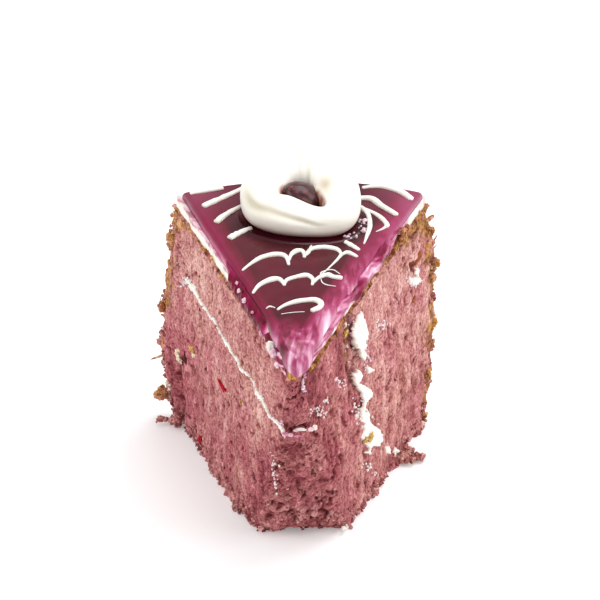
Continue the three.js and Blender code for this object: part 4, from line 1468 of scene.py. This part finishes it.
def ring_mesh():
    """The rope of cream: its hole is a slanting slot round the berry, and its end lies over its start."""
    around = np.linspace(0, 2 * math.pi, RING_ROUND + 1)[:-1]
    turning = np.linspace(0, 2 * math.pi, RING_TURNS + 1)[:-1]
    around, turning = np.meshgrid(around, turning, indexing="ij")
    around = (around + math.pi) % (2 * math.pi) - math.pi
    turning = (turning + math.pi / 2) % (2 * math.pi) - math.pi / 2
    behind = (1 - np.cos(around)) / 2
    hole = RING_HOLE
    for place, length, wider in ((-0.75, 0.5, 3.2), (0, 0.45, 2.6), (0.62, 0.38, 7.4)):
        hole = hole + wider * bump(around, place, length)
    reach = ring_outer(around)
    height = RING_HEIGHT + 3.0 * behind - 1.2 * bump(around, 0.7, 0.6)

    valley_at = np.interp(around, [-1.5, -1.02, -0.6, -0.2, 0.08, 0.3], [0.5, 0.62, 0.8, 0.64, 0.46, 0.2])
    valley_width = np.interp(around, [-1.2, -0.5, 0.3], [0.5, 0.34, 0.16])
    valley_ends = smoothstep(around, -1.6, -1.1) * falling(around, 0.1, 0.5)
    valley = bump(turning, valley_at, valley_width) * valley_ends
    seam_at = 2.62 - 0.35 * (turning - 2.6)
    from_seam = np.minimum(np.abs(around - seam_at), np.abs(around + 2 * math.pi - seam_at))
    seam = bump(from_seam, 0, 0.2) * smoothstep(turning, 1.2, 1.8)
    dent = bump(around, 1.45, 0.35) * bump(turning, 2.1, 0.4)
    second_start = (around + math.pi) % (2 * math.pi) - math.pi
    fold = 0.9 * smoothstep(second_start - seam_at, -0.35, 0.05) * np.maximum(0, np.sin(turning))
    lifted = 1.3 * bump(around, -0.35, 0.5) * bump(turning, 2.1, 0.6)
    pull = 1 - 0.17 * valley - 0.1 * seam - 0.12 * dent - 0.02 * noise(2 * around, turning, 3.0)

    middle = (hole + reach) / 2
    radius = middle + (reach - hole) / 2 * pull * soft_square(np.cos(turning))
    x = radius * np.sin(around)
    y = -radius * np.cos(around) + RING_CENTRE_Y
    up = soft_square(np.sin(turning)) * pull * height / 2 + height / 2 - 0.6 + fold + lifted
    z = glaze_top(np.hypot(x, y - CENTRE_Y)) + 0.1 + np.maximum(0, up)
    places = np.stack([x, y, z], -1)

    light = unit(0.72 + 0.12 * noise(x / 4, y / 4, z / 4))
    # Painted shade under the front of the rope, with a painted reflection of the dark glaze in it.
    underside_shade = falling(turning, -0.85, 0.25) * falling(np.abs(around + 0.4), 0.9, 1.7)
    hollow = bump(around, -0.95, 0.32) * bump(turning, 0.72, 0.3)
    shade = unit(0.6 * valley + 0.4 * seam + 0.6 * hollow)
    colours = mix(cream_white(light), CREAM_SHADE, shade)
    # Painted shade in the dent.
    colours = mix(colours, CREAM_DENT_SHADE, 0.9 * dent)
    colours = mix(colours, CREAM_UNDERSIDE_SHADE, 0.95 * underside_shade)
    inner = smoothstep(turning, 2.2, 2.7)
    ends = bump(around, -1.2, 0.3) + bump(around, 0.95, 0.35)
    stain = inner * unit(1.2 * ends - 0.15 + 0.4 * noise(x, y, z))
    colours = mix(colours, BERRY_JUICE, 0.95 * stain)
    index = np.arange(x.size).reshape(x.shape)
    next_round = np.roll(index, -1, 0)
    faces = quads_to_faces(index, next_round, np.roll(next_round, -1, 1), np.roll(index, -1, 1))
    return places.reshape(-1, 3), faces, colours.reshape(-1, 3)


CREAM_BUBBLES = 26


def cream_bubbles():
    """Specks and beads of cream at the right-hand foot of the ring."""
    draw = np.random.RandomState(23)
    lumps = []
    for _ in range(CREAM_BUBBLES):
        around = draw.uniform(0.7, 1.25)
        away = float(ring_outer(np.array(around))) + draw.uniform(-0.6, 2.6)
        x = away * math.sin(around)
        y = RING_CENTRE_Y - away * math.cos(around)
        size = draw.uniform(0.2, 0.65)
        place = (x, y, float(glaze_top(math.hypot(x, y - CENTRE_Y))) + 0.3 * size)
        shape = size * draw.uniform(0.6, 1.5, 3)
        lumps.append(tumbled(draw, place, shape, gel_tone(0.12), 2, 0.3))
    return joined(lumps)


add_piece("piped_ring", joined([ring_mesh(), cream_bubbles()]), CREAM, "cream_ring")


BERRY_PLACE = (0.9, 29.2, 4.9)  # its middle, the last from the top of the glaze
BERRY_HALF = (6.6, 5.2, 4.2)
BERRY_LEAN = math.radians(27)  # its right-hand end is the lower


def berry_mesh():
    ball, faces = BALLS[5]
    x, y, z = ball.T
    wrinkle = 0.025 * layered(2 * x, 5 * y, 5 * z)
    grown = ball * (1 + wrinkle)[:, None] * np.array(BERRY_HALF)
    c, s = math.cos(BERRY_LEAN), math.sin(BERRY_LEAN)
    places = grown @ np.array([[c, 0, -s], [0, 1, 0], [s, 0, c]])
    places = places + np.array(BERRY_PLACE) + np.array([0, 0, SPOT_TOP])
    streaks = layered(1.2 * x, 7 * y, 5 * z + 9)
    light = unit(0.36 + 0.8 * streaks + 0.2 * layered(2 * x, 2 * y, 2 * z))
    return places, faces, berry_dark(light)


add_piece("blueberry", berry_mesh(), SKIN, "berry")


# ---- The floor, the lights and the camera ----
FLOOR_LOOK = {"Base Color": (0.85, 0.85, 0.85, 1), "Emission Color": (1, 1, 1, 1), "Emission Strength": 0.19}
FLOOR_REACH = 4.0
# Name, place, width and power of each round light
LIGHTS = [
    ("light_above", (0.3, 0.3, 1.1), 0.9, 7.5),
    ("light_left", (-1.0, -0.2, 0.6), 0.7, 3.6),
    ("light_right", (1.0, -0.2, 0.6), 0.7, 3.8),
]
LIT_PLACE = Vector((0, 0, 0.04))
ROOM_BRIGHTNESS = 0.75


def floor():
    mesh = bpy.data.meshes.new("floor")
    corners = [(FLOOR_REACH * x, FLOOR_REACH * y, 0) for x, y in ((-1, -1), (1, -1), (1, 1), (-1, 1))]
    mesh.from_pydata(corners, [], [(0, 1, 2, 3)])
    finish = Finish("pale_floor", 0.9, 0.1)
    finish.settle(finish.shader, FLOOR_LOOK)
    mesh.materials.append(finish.material)
    plane = bpy.data.objects.new("floor", mesh)
    bpy.context.scene.collection.objects.link(plane)


def soft_light(name, place, size, power):
    light = bpy.data.lights.new(name, "AREA")
    light.shape = "DISK"
    light.size = size
    light.energy = power
    lamp = bpy.data.objects.new(name, light)
    direction = LIT_PLACE - Vector(place)
    lamp.matrix_world = Matrix.Translation(place) @ direction.to_track_quat("-Z", "Y").to_matrix().to_4x4()
    bpy.context.scene.collection.objects.link(lamp)


def room():
    world = bpy.data.worlds.new("pale_room")
    world.use_nodes = True
    background = world.node_tree.nodes["Background"]
    background.inputs["Color"].default_value = (1, 1, 1, 1)
    background.inputs["Strength"].default_value = ROOM_BRIGHTNESS
    bpy.context.scene.world = world


CAMERA_PLACE = Vector((12.4, -668.2, 477.3)) * MM
CAMERA_YAW = math.radians(-1.04)
CAMERA_PITCH = math.radians(31.27)
CAMERA_ROLL = math.radians(-0.56)
FOCAL_PIXELS = 2601.0
IMAGE_WIDTH = 600.0
SENSOR_WIDTH = 36.0


def camera():
    lens = bpy.data.cameras.new("camera")
    lens.sensor_fit = "HORIZONTAL"
    lens.sensor_width = SENSOR_WIDTH
    lens.lens = FOCAL_PIXELS / IMAGE_WIDTH * SENSOR_WIDTH
    lens.clip_start = 0.01
    lens.clip_end = 100
    ahead = Vector((
        math.sin(CAMERA_YAW) * math.cos(CAMERA_PITCH),
        math.cos(CAMERA_YAW) * math.cos(CAMERA_PITCH),
        -math.sin(CAMERA_PITCH),
    ))
    level = Vector((math.cos(CAMERA_YAW), -math.sin(CAMERA_YAW), 0))
    above = level.cross(ahead)
    right = level * math.cos(CAMERA_ROLL) + above * math.sin(CAMERA_ROLL)
    up = above * math.cos(CAMERA_ROLL) - level * math.sin(CAMERA_ROLL)
    turn = Matrix((right, up, -ahead)).transposed().to_4x4()
    eye = bpy.data.objects.new("camera", lens)
    eye.matrix_world = Matrix.Translation(CAMERA_PLACE) @ turn
    bpy.context.scene.collection.objects.link(eye)
    bpy.context.scene.camera = eye


floor()
for light_row in LIGHTS:
    soft_light(*light_row)
room()
camera()
bpy.context.scene.view_settings.view_transform = "Standard"


bpy.context.view_layer.update()
